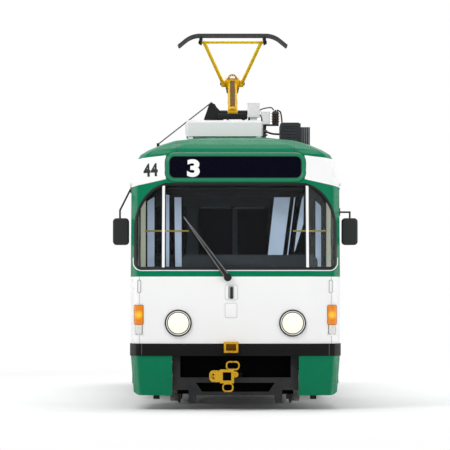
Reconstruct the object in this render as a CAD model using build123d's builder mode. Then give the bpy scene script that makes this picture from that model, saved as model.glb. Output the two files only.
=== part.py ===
from build123d import *

import os
from math import asin, cos, radians, sin

os.makedirs("parts", exist_ok=True)

# Four-axle city tram, single car, one driving end.
# Front faces -Y, +X is the left side, the doors are on the -X side.
# The wheel flanges stand on z = 0. All lengths in millimetres.

# General sizes
half_length = 7000.0
half_width = 1250.0
wall = 55.0
fit_gap = 0.3
running_gap = 0.4
end_length = 700.0
belt_z = 1581.0
band_top_z = 786.0
band_bottom_z = 640.0
skirt_bottom_z = 170.0
cantrail_z = 2600.0
floor_top_z = 900.0
floor_thickness = 40.0

# Body sections: height, how far the side and the nose lie in, slope of the skin there
body_sections = [
    (skirt_bottom_z, 35.0, 130.0, 0.0),
    (band_bottom_z, 0.0, 50.0, 0.0),
    (1600.0, 0.0, 0.0, 0.0),
    (2690.0, 0.0, 240.0, 4.0),
    (2840.0, 20.0, 273.0, 12.0),
    (2962.0, 56.0, 300.0, 26.0),
    (3050.0, 110.0, 325.0, 45.0),
    (3110.0, 205.0, 385.0, 62.0),
    (3173.0, 347.0, 480.0, 69.0),
    (3229.0, 513.0, 610.0, 78.0),
    (3271.0, 900.0, 950.0, 90.0),
]
roof_top_z = body_sections[-1][0]
flat_share = 0.688
bend_share = 0.932
bend_setback = 120.0
corner_setback = 340.0
corner_radius = 90.0

# Windscreen
screen_half_width = 1197.0
screen_bottom_z = 1676.0
screen_top_z = 2686.0
screen_corner_z = 2350.0
screen_corner_radius = 560.0
screen_shoulder_x = 1010.0
screen_shoulder_z = 2620.0
screen_shoulder_radius = 440.0
screen_inner_z = 2672.0
screen_radius = 80.0
pillar_x = 856.0
pillar_width = 33.0
glass_thickness = 10.0
glass_depth = 14.0

# Destination display
display_half_width = 790.0
display_bottom_z = 2759.0
display_top_z = 3021.0
display_radius = 69.0
display_depth = 10.0
display_thickness = 40.0

# Side windows
window_height = 820.0
window_centre_z = 2050.0
window_radius = 80.0
left_window_width = 1250.0
left_window_pitch = 1450.0
left_window_count = 8
right_window_width = 1180.0
right_window_pitch = 1290.0
right_window_count = 3
cab_window_width = 330.0
cab_window_y = -6010.0

# Doors
door_centres = [-5300.0, 0.0, 5300.0]
door_width = 1300.0
door_bottom_z = 390.0
door_top_z = 2588.0
leaf_thickness = 30.0
leaf_recess = 14.0
jamb_gap = 5.0
leaf_gap = 10.0
middle_gap = 16.0
pivot_offset = 3.0
pivot_inset = 8.0
pivot_radius = 8.0
pivot_length = 90.0
fold_offset = 6.0
fold_plate = 5.0
fold_plate_width = 30.0
fold_hinge_length = 120.0
fold_hinge_zs = [620.0, 1480.0, 2420.0]
door_window_margin = 55.0
door_window_bottom_z = 1300.0

# Steps inside each doorway
step_plate = 25.0
first_step_z = 380.0
second_step_z = 640.0
first_step_depth = 380.0
second_step_depth = 270.0

# Underframe
sill_width = 100.0
frame_bottom_z = 745.0
bolster_half_length = 250.0
king_pin_radius = 60.0
king_pin_bottom_z = 560.0
cross_member_width = 90.0
centre_sill_x = 300.0
headstock_y = 6870.0
headstock_depth = 120.0

# Bogies and wheelsets
bogie_centres = 6400.0
wheelbase = 1900.0
tread_radius = 350.0
flange_height = 28.0
tread_centre_x = 750.0
wheel_width = 130.0
flange_width = 28.0
axle_radius = 70.0
journal_radius = 55.0
axle_half_length = 1010.0
side_frame_x = 980.0
side_frame_width = 60.0
side_frame_half_length = 1130.0
axle_box_size = 230.0
bogie_bolster_half_width = 200.0
bogie_bolster_bottom_z = 400.0
bogie_bolster_top_z = 640.0
centre_plate_radius = 200.0
king_pin_gap = 5.0
spring_radius = 85.0
spring_top_gap = 6.0
motor_half_width = 350.0
motor_end_y = 800.0
motor_bottom_z = 300.0
motor_top_z = 570.0
brake_x = 717.0
brake_width = 74.0
brake_half_length = 420.0
brake_bottom_z = 45.0
brake_top_z = 135.0
guard_bottom_z = 57.0

# Couplers
coupler_x = -60.0
coupler_z = 430.0
coupler_pivot_y = 6600.0
coupler_face_y = 7260.0
coupler_shank = 70.0
coupler_head_depth = 90.0
coupler_pin_radius = 22.0
coupler_eye_radius = 62.0
ear_thickness = 25.0

# Pantograph
panto_x = -25.0
panto_y = -3200.0
panto_pivot_z = 3740.0
arm_length = 1300.0
arm_angle = 20.6
lower_arm_radius = 62.0
upper_arm_radius = 23.0
knuckle_drum_radius = 74.0
knuckle_drum_half = 90.0
knuckle_hub_radius = 46.0
arm_shaft_radius = 28.0
knuckle_pin_radius = 20.0
head_shaft_radius = 16.0
knuckle_half_width = 145.0
head_half_width = 430.0
pan_rise = 102.0
pan_flat_half = 530.0
pan_bend_radius = 300.0
pan_tip_half = 705.0
pan_tip_drop = 160.0
pan_thickness = 34.0
pan_width = 45.0
pan_spacing = 280.0
base_top_z = 3560.0
base_tube = 60.0
base_half_width = 430.0
base_half_length = 560.0
insulator_radius = 55.0

flange_radius = tread_radius + flange_height
axle_z = flange_radius
inner_side = half_width - wall
doorway_half = door_width / 2
end_start = half_length - end_length
left_x = Plane.YZ.offset(inner_side)
nose_slope = (body_sections[3][2] - body_sections[2][2]) / (screen_top_z - 1600.0)


def body_form(inset):
    """Solid bounded by the body skin, shrunk by inset."""
    with BuildPart() as form:
        for height, side, nose, slope in body_sections:
            half = half_width - side - inset * cos(radians(slope))
            share = half / half_width
            front = half_length - nose - inset
            flat = half * flat_share
            bend = half * bend_share
            bend_y = front - bend_setback * share
            corner_y = front - corner_setback * share
            round_off = (corner_radius - inset) * share
            radii = [0, 0, round_off, 0, 0, round_off, 0, 0, round_off, 0, 0, round_off]
            with BuildSketch(Plane.XY.offset(height - inset * sin(radians(slope)))):
                with BuildLine():
                    FilletPolyline(
                        (half, -corner_y),
                        (half, corner_y),
                        (bend, bend_y),
                        (flat, front),
                        (-flat, front),
                        (-bend, bend_y),
                        (-half, corner_y),
                        (-half, -corner_y),
                        (-bend, -bend_y),
                        (-flat, -front),
                        (flat, -front),
                        (bend, -bend_y),
                        radius=radii,
                        close=True,
                    )
                make_face()
        loft(ruled=True)
    return form.part


def slab(x_low, x_high, y_low, y_high, z_low, z_high):
    """Rectangular block between named limits."""
    with BuildPart() as block:
        with BuildSketch(Plane.XY.offset(z_low)):
            with Locations(((x_low + x_high) / 2, (y_low + y_high) / 2)):
                Rectangle(x_high - x_low, y_high - y_low)
        extrude(amount=z_high - z_low)
    return block.part


def rod(start, end, radius):
    """Round bar from one point to another."""
    run = Vector(*end) - Vector(*start)
    with BuildPart() as bar:
        with BuildSketch(Plane(origin=start, z_dir=run)):
            Circle(radius)
        extrude(amount=run.length)
    return bar.part


skin = body_form(0)
inner_skin = body_form(wall)
trim_skin = body_form(wall + fit_gap)
nose_y = -half_length - 100


# End shells with their windscreen openings

def screen_prism(grow):
    """Prisms along Y for the centre pane and the two quarter panes."""
    centre_half = pillar_x - pillar_width / 2
    quarter_start = pillar_x + pillar_width / 2
    middle_z = (screen_bottom_z + screen_top_z) / 2
    height = screen_top_z - screen_bottom_z + 2 * grow
    with BuildPart() as prism:
        with BuildSketch(Plane.XZ.offset(end_start + 120)):
            with Locations((0, middle_z)):
                Rectangle(2 * centre_half + 2 * grow, height)
            for hand in (1, -1):
                with BuildLine():
                    FilletPolyline(
                        (hand * (quarter_start - grow), screen_bottom_z - grow),
                        (hand * (screen_half_width + grow), screen_bottom_z - grow),
                        (hand * (screen_half_width + grow), screen_corner_z + grow),
                        (hand * (screen_shoulder_x + grow), screen_shoulder_z + grow),
                        (hand * (quarter_start - grow), screen_inner_z + grow),
                        radius=[0, screen_radius, screen_corner_radius, screen_shoulder_radius, 0],
                        close=True,
                    )
                make_face()
        extrude(amount=end_length)
    return prism.part


def display_prism(grow):
    """Prism along Y for the display box over the windscreen."""
    with BuildPart() as prism:
        with BuildSketch(Plane.XZ.offset(end_start + 120)):
            with Locations((0, (display_bottom_z + display_top_z) / 2)):
                RectangleRounded(
                    2 * display_half_width + 2 * grow,
                    display_top_z - display_bottom_z + 2 * grow,
                    display_radius,
                )
        extrude(amount=end_length)
    return prism.part


with BuildPart() as plain_end:
    add(slab(-2000, 2000, nose_y, -end_start, belt_z, roof_top_z + 100))
    add(skin, mode=Mode.INTERSECT)
    add(inner_skin, mode=Mode.SUBTRACT)
    add(screen_prism(fit_gap), mode=Mode.SUBTRACT)

with BuildPart() as front_shell:
    add(plain_end.part)
    add(display_prism(fit_gap), mode=Mode.SUBTRACT)
front_shell.part.label = "front_shell"
export_step(front_shell.part, "parts/front_shell.step")

with BuildPart() as rear_shell:
    mirror(plain_end.part, about=Plane.XZ)
rear_shell.part.label = "rear_shell"
export_step(rear_shell.part, "parts/rear_shell.step")

# Aprons under the windscreens, with the headlamp holes at the front
lamp_x = 678.0
lamp_z = 1030.0
lamp_radius = 158.0
lens_radius = 124.0
pocket_x = -52.0
pocket_z = 742.0
pocket_width = 170.0
pocket_height = 129.0
pocket_hole = slab(
    pocket_x - pocket_width / 2 - fit_gap,
    pocket_x + pocket_width / 2 + fit_gap,
    nose_y,
    -end_start - 200,
    pocket_z - pocket_height / 2 - fit_gap,
    pocket_z + pocket_height / 2 + fit_gap,
)

with BuildPart() as plain_apron:
    add(slab(-2000, 2000, nose_y, -end_start, band_top_z, belt_z))
    add(skin, mode=Mode.INTERSECT)
    add(inner_skin, mode=Mode.SUBTRACT)
    add(pocket_hole, mode=Mode.SUBTRACT)

with BuildPart() as front_apron:
    add(plain_apron.part)
    with BuildSketch(Plane.XZ.offset(end_start + 200)):
        with Locations((-lamp_x, lamp_z), (lamp_x, lamp_z)):
            Circle(lamp_radius + fit_gap)
    extrude(amount=end_length, mode=Mode.SUBTRACT)
front_apron.part.label = "front_apron"
export_step(front_apron.part, "parts/front_apron.step")

tail_x = 930.0
tail_zs = [980.0, 1120.0, 1260.0]
tail_radius = 62.0

with BuildPart() as rear_apron:
    mirror(plain_apron.part, about=Plane.XZ)
    with BuildSketch(Plane.XZ.offset(-end_start - 200)):
        for tail_z in tail_zs:
            with Locations((-tail_x, tail_z), (tail_x, tail_z)):
                Circle(tail_radius + fit_gap)
    extrude(amount=-end_length, mode=Mode.SUBTRACT)
rear_apron.part.label = "rear_apron"
export_step(rear_apron.part, "parts/rear_apron.step")

# Black bumper bands, front and rear
band_proud = 10.0
band_outer = body_form(-band_proud)
with BuildPart() as bumper:
    add(slab(-2000, 2000, nose_y, -end_start, band_bottom_z, band_top_z))
    add(band_outer, mode=Mode.INTERSECT)
    add(inner_skin, mode=Mode.SUBTRACT)
    add(pocket_hole, mode=Mode.SUBTRACT)
with BuildPart() as bumpers:
    add(bumper.part)
    mirror(about=Plane.XZ)
bumpers.part.label = "bumpers"
export_step(bumpers.part, "parts/bumpers.step")

# Skirts at the four corners, under the bumper bands
corner_skirt_x = 752.0
corner_skirt_thickness = 40.0
corner_skirt_radius = 120.0
with BuildPart() as corner_skirts:
    add(slab(corner_skirt_x, 2000, nose_y, -end_start, skirt_bottom_z, band_bottom_z))
    add(skin, mode=Mode.INTERSECT)
    add(body_form(corner_skirt_thickness), mode=Mode.SUBTRACT)
    with BuildSketch(Plane.XZ.offset(end_start - 10)):
        with Locations((0, skirt_bottom_z + half_width / 2)):
            RectangleRounded(2 * half_width, half_width, corner_skirt_radius)
    extrude(amount=2 * end_length, mode=Mode.INTERSECT)
    mirror(about=Plane.YZ)
    mirror(about=Plane.XZ)
corner_skirts.part.label = "corner_skirts"
export_step(corner_skirts.part, "parts/corner_skirts.step")

# Windscreen panes
with BuildPart() as windscreens:
    add(screen_prism(0))
    add(body_form(glass_depth), mode=Mode.INTERSECT)
    add(body_form(glass_depth + glass_thickness), mode=Mode.SUBTRACT)
    mirror(about=Plane.XZ)
windscreens.part.label = "windscreens"
export_step(windscreens.part, "parts/windscreens.step")

# Destination display
with BuildPart() as destination_display:
    add(display_prism(0))
    add(body_form(display_depth), mode=Mode.INTERSECT)
    add(body_form(display_depth + display_thickness), mode=Mode.SUBTRACT)
destination_display.part.label = "destination_display"
export_step(destination_display.part, "parts/destination_display.step")

# Roof panel between the end shells
with BuildPart() as roof:
    add(slab(-2000, 2000, -end_start, end_start, cantrail_z, roof_top_z + 100))
    add(skin, mode=Mode.INTERSECT)
    add(inner_skin, mode=Mode.SUBTRACT)
roof.part.label = "roof"
export_step(roof.part, "parts/roof.step")

# Left side wall with its windows
side_middle_z = (band_bottom_z + cantrail_z) / 2
side_height = cantrail_z - band_bottom_z
left_window_ys = [
    (index - (left_window_count - 1) / 2) * left_window_pitch + 60
    for index in range(left_window_count)
]
with BuildPart() as side_left:
    with BuildSketch(left_x):
        with Locations((0, side_middle_z)):
            Rectangle(2 * end_start, side_height)
        with Locations([(y, window_centre_z) for y in left_window_ys]):
            RectangleRounded(
                left_window_width, window_height, window_radius, mode=Mode.SUBTRACT
            )
        with Locations((cab_window_y - 40, window_centre_z)):
            RectangleRounded(
                cab_window_width, window_height, window_radius, mode=Mode.SUBTRACT
            )
    extrude(amount=wall)
side_left.part.label = "side_left"
export_step(side_left.part, "parts/side_left.step")

# Right side wall in panels between the doorways
panel_starts = [-end_start] + [y + doorway_half for y in door_centres]
panel_ends = [y - doorway_half for y in door_centres] + [end_start]
right_window_ys = []
for start, end in zip(panel_starts[1:3], panel_ends[1:3]):
    for index in range(right_window_count):
        shift = (index - (right_window_count - 1) / 2) * right_window_pitch
        right_window_ys.append((start + end) / 2 + shift)
right_x = Plane.YZ.offset(-half_width)
with BuildPart() as side_right:
    with BuildSketch(right_x):
        for start, end in zip(panel_starts, panel_ends):
            with Locations(((start + end) / 2, side_middle_z)):
                Rectangle(end - start, side_height)
        with Locations([(y, window_centre_z) for y in right_window_ys]):
            RectangleRounded(
                right_window_width, window_height, window_radius, mode=Mode.SUBTRACT
            )
    extrude(amount=wall)
side_right.part.label = "side_right"
export_step(side_right.part, "parts/side_right.step")

# Side window panes
side_glass_inset = 18.0
side_glass_thickness = 8.0
with BuildPart() as side_windows:
    with BuildSketch(Plane.YZ.offset(half_width - side_glass_inset - side_glass_thickness)):
        with Locations([(y, window_centre_z) for y in left_window_ys]):
            RectangleRounded(
                left_window_width - 2 * fit_gap, window_height - 2 * fit_gap, window_radius
            )
        with Locations((cab_window_y - 40, window_centre_z)):
            RectangleRounded(
                cab_window_width - 2 * fit_gap, window_height - 2 * fit_gap, window_radius
            )
    extrude(amount=side_glass_thickness)
    with BuildSketch(Plane.YZ.offset(side_glass_inset - half_width)):
        with Locations([(y, window_centre_z) for y in right_window_ys]):
            RectangleRounded(
                right_window_width - 2 * fit_gap, window_height - 2 * fit_gap, window_radius
            )
    extrude(amount=side_glass_thickness)
side_windows.part.label = "side_windows"
export_step(side_windows.part, "parts/side_windows.step")

# Side skirts, left open over the bogies
bogie_gap_half = 1350.0
skirt_top_z = band_bottom_z
side_skirt_bottom_z = 300.0
skirt_inset = 8.0
skirt_thickness = 30.0
bogie_ys = [-bogie_centres / 2, bogie_centres / 2]
left_skirts = [
    (-end_start, bogie_ys[0] - bogie_gap_half),
    (bogie_ys[0] + bogie_gap_half, bogie_ys[1] - bogie_gap_half),
    (bogie_ys[1] + bogie_gap_half, end_start),
]
right_skirts = [
    (-end_start, door_centres[0] - doorway_half),
    (bogie_ys[0] + bogie_gap_half, door_centres[1] - doorway_half),
    (door_centres[1] + doorway_half, bogie_ys[1] - bogie_gap_half),
    (door_centres[2] + doorway_half, end_start),
]
with BuildPart() as side_skirts:
    left_skirt_x = half_width - skirt_inset - skirt_thickness
    for plane_x, spans in ((left_skirt_x, left_skirts), (skirt_inset - half_width, right_skirts)):
        with BuildSketch(Plane.YZ.offset(plane_x)):
            for start, end in spans:
                with Locations(((start + end) / 2, (side_skirt_bottom_z + skirt_top_z) / 2)):
                    Rectangle(end - start, skirt_top_z - side_skirt_bottom_z)
        extrude(amount=skirt_thickness)
side_skirts.part.label = "side_skirts"
export_step(side_skirts.part, "parts/side_skirts.step")

# Floor, cut out over the steps
step_inner_x = -half_width + first_step_depth + second_step_depth
floor_bottom_z = floor_top_z - floor_thickness
with BuildPart() as floor:
    add(slab(-2000, 2000, -headstock_y, headstock_y, floor_bottom_z, floor_top_z))
    add(trim_skin, mode=Mode.INTERSECT)
    for door_y in door_centres:
        add(
            slab(
                -2000,
                step_inner_x,
                door_y - doorway_half,
                door_y + doorway_half,
                floor_bottom_z - 10,
                floor_top_z + 10,
            ),
            mode=Mode.SUBTRACT,
        )
floor.part.label = "floor"
export_step(floor.part, "parts/floor.step")

# Two steps in each doorway, folded from one plate with cheeks at the ends
first_step_x = -half_width + first_step_depth
with BuildPart() as door_steps:
    for door_y in door_centres:
        with BuildSketch(Plane.XZ.offset(-door_y - doorway_half)):
            with BuildLine():
                Polyline(
                    (-half_width, first_step_z - step_plate),
                    (first_step_x + step_plate, first_step_z - step_plate),
                    (first_step_x + step_plate, second_step_z - step_plate),
                    (step_inner_x, second_step_z - step_plate),
                    (step_inner_x, floor_bottom_z),
                    (step_inner_x - step_plate, floor_bottom_z),
                    (step_inner_x - step_plate, second_step_z),
                    (first_step_x, second_step_z),
                    (first_step_x, first_step_z),
                    (-half_width, first_step_z),
                    close=True,
                )
            make_face()
        extrude(amount=door_width)
door_steps.part.label = "door_steps"
export_step(door_steps.part, "parts/door_steps.step")

# Underframe weldment
sill_x = inner_side - fit_gap - sill_width
cross_ys = [-6300, -4500, -1800, -900, 900, 1800, 4500, 6300]
with BuildPart() as underframe:
    add(slab(sill_x, inner_side - fit_gap, -end_start, end_start, band_bottom_z, floor_bottom_z))
    for start, end in zip(panel_starts, panel_ends):
        add(slab(fit_gap - inner_side, -sill_x, start, end, band_bottom_z, floor_bottom_z))
    for side in (-1, 1):
        low = side * centre_sill_x - 50
        add(slab(low, low + 100, -headstock_y, headstock_y, frame_bottom_z, floor_bottom_z))
    for y in cross_ys:
        half_span = cross_member_width / 2
        add(slab(-sill_x, sill_x, y - half_span, y + half_span, frame_bottom_z, floor_bottom_z))
    for y in bogie_ys:
        add(
            slab(
                -sill_x,
                sill_x,
                y - bolster_half_length,
                y + bolster_half_length,
                frame_bottom_z,
                floor_bottom_z,
            )
        )
        with BuildSketch(Plane.XY.offset(king_pin_bottom_z)):
            with Locations((0, y)):
                Circle(king_pin_radius)
        extrude(amount=frame_bottom_z - king_pin_bottom_z + 1)
    for hand in (-1, 1):
        face = hand * headstock_y
        back = face - hand * headstock_depth
        add(slab(-750, 750, min(face, back), max(face, back), band_bottom_z, floor_bottom_z))
        pivot_y = hand * coupler_pivot_y
        ear_top = coupler_z + coupler_shank / 2 + fit_gap
        ear_bottom = coupler_z - coupler_shank / 2 - fit_gap
        web = pivot_y - hand * 110
        back = web - hand * 40
        add(
            slab(
                coupler_x - 80,
                coupler_x + 80,
                min(web, back),
                max(web, back),
                ear_bottom - ear_thickness,
                floor_bottom_z,
            )
        )
        for low in (ear_top, ear_bottom - ear_thickness):
            tip = pivot_y + hand * 60
            add(
                slab(
                    coupler_x - 60,
                    coupler_x + 60,
                    min(web, tip),
                    max(web, tip),
                    low,
                    low + ear_thickness,
                )
            )
        with BuildSketch(Plane.XY.offset(ear_bottom)):
            with Locations((coupler_x, pivot_y)):
                Circle(coupler_pin_radius)
        extrude(amount=ear_top - ear_bottom)
        stay = slab(-350, 350, min(web, back), max(web, back), frame_bottom_z, floor_bottom_z)
        add(stay)
underframe.part.label = "underframe"
export_step(underframe.part, "parts/underframe.step")

# Lifeguard frames under the bumper bands
guard_y = 6780.0
guard_depth = 60.0
guard_post_x = 657.0
guard_post_width = 90.0
guard_beam_z = 320.0
guard_beam_height = 62.0
guard_low_beam_z = 173.0
guard_low_beam_height = 40.0
guard_low_beam_half = 400.0
guard_foot_x = 464.0
guard_foot_width = 92.0
guard_foot_z = 85.0
guard_gusset_z = 234.0
with BuildPart() as lifeguard:
    with BuildSketch(Plane.XZ.offset(guard_y)):
        for hand in (-1, 1):
            post_x = hand * (guard_post_x + guard_post_width / 2)
            with Locations((post_x, (guard_gusset_z + band_bottom_z) / 2)):
                Rectangle(guard_post_width, band_bottom_z - guard_gusset_z)
            with BuildLine():
                Polyline(
                    (hand * guard_post_x, guard_gusset_z),
                    (hand * guard_post_x, guard_beam_z),
                    (hand * (guard_foot_x + 6), guard_beam_z),
                    (hand * (guard_low_beam_half - 5), guard_low_beam_z + guard_low_beam_height),
                    (hand * (guard_low_beam_half - 5), guard_low_beam_z),
                    (hand * guard_foot_x, guard_low_beam_z),
                    (hand * guard_foot_x, guard_foot_z),
                    (hand * (guard_foot_x + guard_foot_width), guard_foot_z),
                    (hand * (guard_foot_x + guard_foot_width), guard_gusset_z),
                    close=True,
                )
            make_face()
        with Locations((0, guard_beam_z + guard_beam_height / 2)):
            Rectangle(2 * guard_post_x + 6, guard_beam_height)
        with Locations((0, guard_low_beam_z + guard_low_beam_height / 2)):
            Rectangle(2 * guard_low_beam_half, guard_low_beam_height)
    extrude(amount=guard_depth)
with BuildPart() as lifeguards:
    add(lifeguard.part)
    mirror(about=Plane.XZ)
lifeguards.part.label = "lifeguards"
export_step(lifeguards.part, "parts/lifeguards.step")

# Tow pocket frames in the bumper bands
pocket_rim = 25.0
pocket_face_y = 7015.0
with BuildPart() as tow_pocket:
    with BuildSketch(Plane.XZ.offset(headstock_y)):
        with Locations((pocket_x, pocket_z)):
            Rectangle(pocket_width, pocket_height)
            Rectangle(
                pocket_width - 2 * pocket_rim,
                pocket_height - 2 * pocket_rim,
                mode=Mode.SUBTRACT,
            )
    extrude(amount=pocket_face_y - headstock_y)
with BuildPart() as tow_pockets:
    add(tow_pocket.part)
    mirror(about=Plane.XZ)
tow_pockets.part.label = "tow_pockets"
export_step(tow_pockets.part, "parts/tow_pockets.step")

# Headlamps, turned: bucket, bezel and domed lens
lamp_back_y = 6880.0
lamp_face_y = 6984.0
lens_bulge = 24.0
lens_ball = (lens_radius**2 + lens_bulge**2) / (2 * lens_bulge)
lens_centre_y = lamp_face_y - 6 + lens_bulge - lens_ball
lens_turn = asin(lens_radius / lens_ball)
with BuildPart() as headlamp:
    with BuildSketch(Plane.XY):
        with BuildLine():
            Polyline(
                (0, lamp_back_y),
                (lamp_radius - 40, lamp_back_y),
                (lamp_radius, lamp_back_y + 60),
                (lamp_radius, lamp_face_y),
                (lamp_radius - 12, lamp_face_y + 10),
                (lens_radius + 6, lamp_face_y + 10),
                (lens_radius, lamp_face_y - 6),
            )
            ThreePointArc(
                (lens_radius, lamp_face_y - 6),
                (lens_ball * sin(lens_turn / 2), lens_centre_y + lens_ball * cos(lens_turn / 2)),
                (0, lens_centre_y + lens_ball),
            )
            Line((0, lens_centre_y + lens_ball), (0, lamp_back_y))
        make_face()
    revolve(axis=Axis.Y)
lamp_solid = Rot(0, 0, 180) * headlamp.part
with BuildPart() as headlamps:
    for hand in (-1, 1):
        add(Pos(hand * lamp_x, 0, lamp_z) * lamp_solid)
headlamps.part.label = "headlamps"
export_step(headlamps.part, "parts/headlamps.step")

# Indicators and marker lamps, thin pads that follow the corner of the skin
indicator_width = 108.0
indicator_x = 1152.0
indicator_bottom_z = 1012.0
indicator_top_z = 1242.0
marker_bottom_z = 900.0
lamp_pad = 16.0
pad_outer = body_form(-lamp_pad)
pads = {
    "indicators": (indicator_bottom_z, indicator_top_z, indicator_width),
    "marker_lamps": (marker_bottom_z, indicator_bottom_z - 5, indicator_width - 26),
}
for node, (low, high, width) in pads.items():
    with BuildPart() as pad:
        left_edge = indicator_x - width / 2
        add(slab(left_edge, left_edge + width, nose_y, -end_start, low, high))
        add(pad_outer, mode=Mode.INTERSECT)
        add(skin, mode=Mode.SUBTRACT)
        mirror(about=Plane.YZ)
    pad.part.label = node
    export_step(pad.part, f"parts/{node}.step")

# Tail lamps
with BuildPart() as tail_lamps:
    for tail_z in tail_zs:
        with BuildSketch(Plane.XZ.offset(-end_start - 450)):
            with Locations((-tail_x, tail_z), (tail_x, tail_z)):
                Circle(tail_radius)
        extrude(amount=-240)
    add(band_outer, mode=Mode.INTERSECT)
tail_lamps.part.label = "tail_lamps"
export_step(tail_lamps.part, "parts/tail_lamps.step")

# Cab partition with a glazed pair of doors in the middle
partition_y = -5980.0
partition_thickness = 30.0
partition_pane_z = 2150.0
partition_pane_height = 560.0
# Panes: middle, width
partition_panes = [(-233.0, 360.0), (170.0, 360.0), (-850.0, 500.0), (680.0, 500.0)]
with BuildPart() as cab_partition:
    with BuildSketch(Plane.XZ.offset(-partition_y)):
        with Locations((0, 2100)):
            Rectangle(2 * half_width, 2600)
        for pane_x, pane_width in partition_panes:
            with Locations((pane_x, partition_pane_z)):
                Rectangle(pane_width, partition_pane_height, mode=Mode.SUBTRACT)
    extrude(amount=partition_thickness)
    add(trim_skin, mode=Mode.INTERSECT)
    add(slab(-2000, 2000, nose_y, 0, floor_top_z, roof_top_z), mode=Mode.INTERSECT)
cab_partition.part.label = "cab_partition"
export_step(cab_partition.part, "parts/cab_partition.step")

# Dashboard with its instrument hood
dash_front_y = 6850.0
with BuildPart() as dashboard:
    with BuildSketch(Plane.YZ.offset(-1050)):
        with BuildLine():
            Polyline(
                (-dash_front_y, floor_top_z),
                (-dash_front_y + 90, floor_top_z),
                (-dash_front_y + 110, 1360),
                (-6500, 1380),
                (-6480, 1560),
                (-6540, 1640),
                (-dash_front_y, 1640),
                close=True,
            )
        make_face()
    extrude(amount=2100)
    with BuildSketch(Plane.XZ.offset(6540)):
        with Locations((172, 1740)):
            RectangleRounded(1612, 200, 80)
    extrude(amount=300)
    add(trim_skin, mode=Mode.INTERSECT)
dashboard.part.label = "dashboard"
export_step(dashboard.part, "parts/dashboard.step")

# Seats: moulded shells on pedestals, all facing forward
seat_width = 420.0
seat_height = 430.0
seat_depth = 420.0
back_height = 470.0
seat_shell = 35.0
left_seat_x = 955.0
seat_pitch = 780.0
left_seat_count = 13
left_seat_start = -4400.0
right_seat_ys = [-4150, -3370, -2590, -1810, 1310, 2090, 2870, 3650]
left_seat_ys = [left_seat_start + seat_pitch * index for index in range(left_seat_count)]
seat_spots = [(left_seat_x, y) for y in left_seat_ys]
seat_spots += [(-left_seat_x, y) for y in right_seat_ys]
pan_z = floor_top_z + seat_height
with BuildPart() as seat:
    with BuildSketch(Plane.YZ.offset(-seat_width / 2)):
        with BuildLine():
            FilletPolyline(
                (-seat_depth / 2, pan_z - seat_shell),
                (-seat_depth / 2, pan_z),
                (seat_depth / 2 - seat_shell, pan_z - 20),
                (seat_depth / 2 + 55, pan_z + back_height),
                (seat_depth / 2 + 55 + seat_shell, pan_z + back_height),
                (seat_depth / 2, pan_z - seat_shell - 20),
                radius=[0, 12, 40, 12, 12, 60],
                close=True,
            )
        make_face()
    extrude(amount=seat_width)
    with BuildSketch(Plane.XY.offset(floor_top_z)):
        Rectangle(90, 200)
    extrude(amount=seat_height - seat_shell - 8)
with BuildPart() as passenger_seats:
    for x, y in seat_spots:
        add(Pos(x, y, 0) * seat.part)
passenger_seats.part.label = "passenger_seats"
export_step(passenger_seats.part, "parts/passenger_seats.step")

with BuildPart() as driver_seat:
    add(Pos(120, partition_y - partition_thickness - 320, 0) * seat.part)
driver_seat.part.label = "driver_seat"
export_step(driver_seat.part, "parts/driver_seat.step")

# Grab poles, floor to ceiling, with a rail along each row
pole_radius = 17.0
pole_x = 520.0
pole_ys = [-4400, -2500, -900, 900, 2500, 4400]
rail_z = 2750.0
with BuildPart() as handrails:
    for hand in (-1, 1):
        for y in pole_ys:
            add(rod((hand * pole_x, y, floor_top_z), (hand * pole_x, y, roof_top_z), pole_radius))
        add(rod((hand * pole_x, pole_ys[0], rail_z), (hand * pole_x, pole_ys[-1], rail_z), pole_radius))
    add(trim_skin, mode=Mode.INTERSECT)
handrails.part.label = "handrails"
export_step(handrails.part, "parts/handrails.step")

# Windscreen wiper: boss, two arms that close up towards the blade, and the blade
wiper_x = -91.0
wiper_z = 1571.0
wiper_tip_x = -617.0
wiper_tip_z = 2295.0
wiper_boss_radius = 46.0
wiper_boss_proud = 60.0
wiper_arm_radius = 10.0
wiper_arm_share = 0.83
wiper_arm_proud = 36.0
wiper_pin_radius = 14.0
wiper_base_spread = 28.0
wiper_tip_spread = 11.5
blade_radius = 10.0
blade_share = 0.5


def on_screen(share, aside, proud):
    """Point along the wiper, aside from its line and proud of the leaning screen."""
    run_x = wiper_tip_x - wiper_x
    run_z = wiper_tip_z - wiper_z
    run = (run_x**2 + run_z**2) ** 0.5
    x = wiper_x + share * run_x + aside * run_z / run
    z = wiper_z + share * run_z - aside * run_x / run
    return (x, -half_length + nose_slope * max(z - 1600.0, 0) - proud, z)


with BuildPart() as wiper:
    add(
        rod(
            (wiper_x, -half_length - wiper_boss_proud, wiper_z),
            (wiper_x, -half_length + 30, wiper_z),
            wiper_boss_radius,
        )
    )
    for hand in (-1, 1):
        low_end = on_screen(0, hand * wiper_base_spread, wiper_arm_proud)
        high_end = on_screen(wiper_arm_share, hand * wiper_tip_spread, wiper_arm_proud)
        add(rod(low_end, high_end, wiper_arm_radius))
    add(rod(on_screen(blade_share, 0, 12), on_screen(1, 0, 12), blade_radius))
    pin_share = wiper_arm_share - 0.02
    add(rod(on_screen(pin_share, 0, wiper_arm_proud), on_screen(pin_share, 0, 6), wiper_pin_radius))
    add(skin, mode=Mode.SUBTRACT)
wiper.part.label = "wiper"
export_step(wiper.part, "parts/wiper.step")

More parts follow.
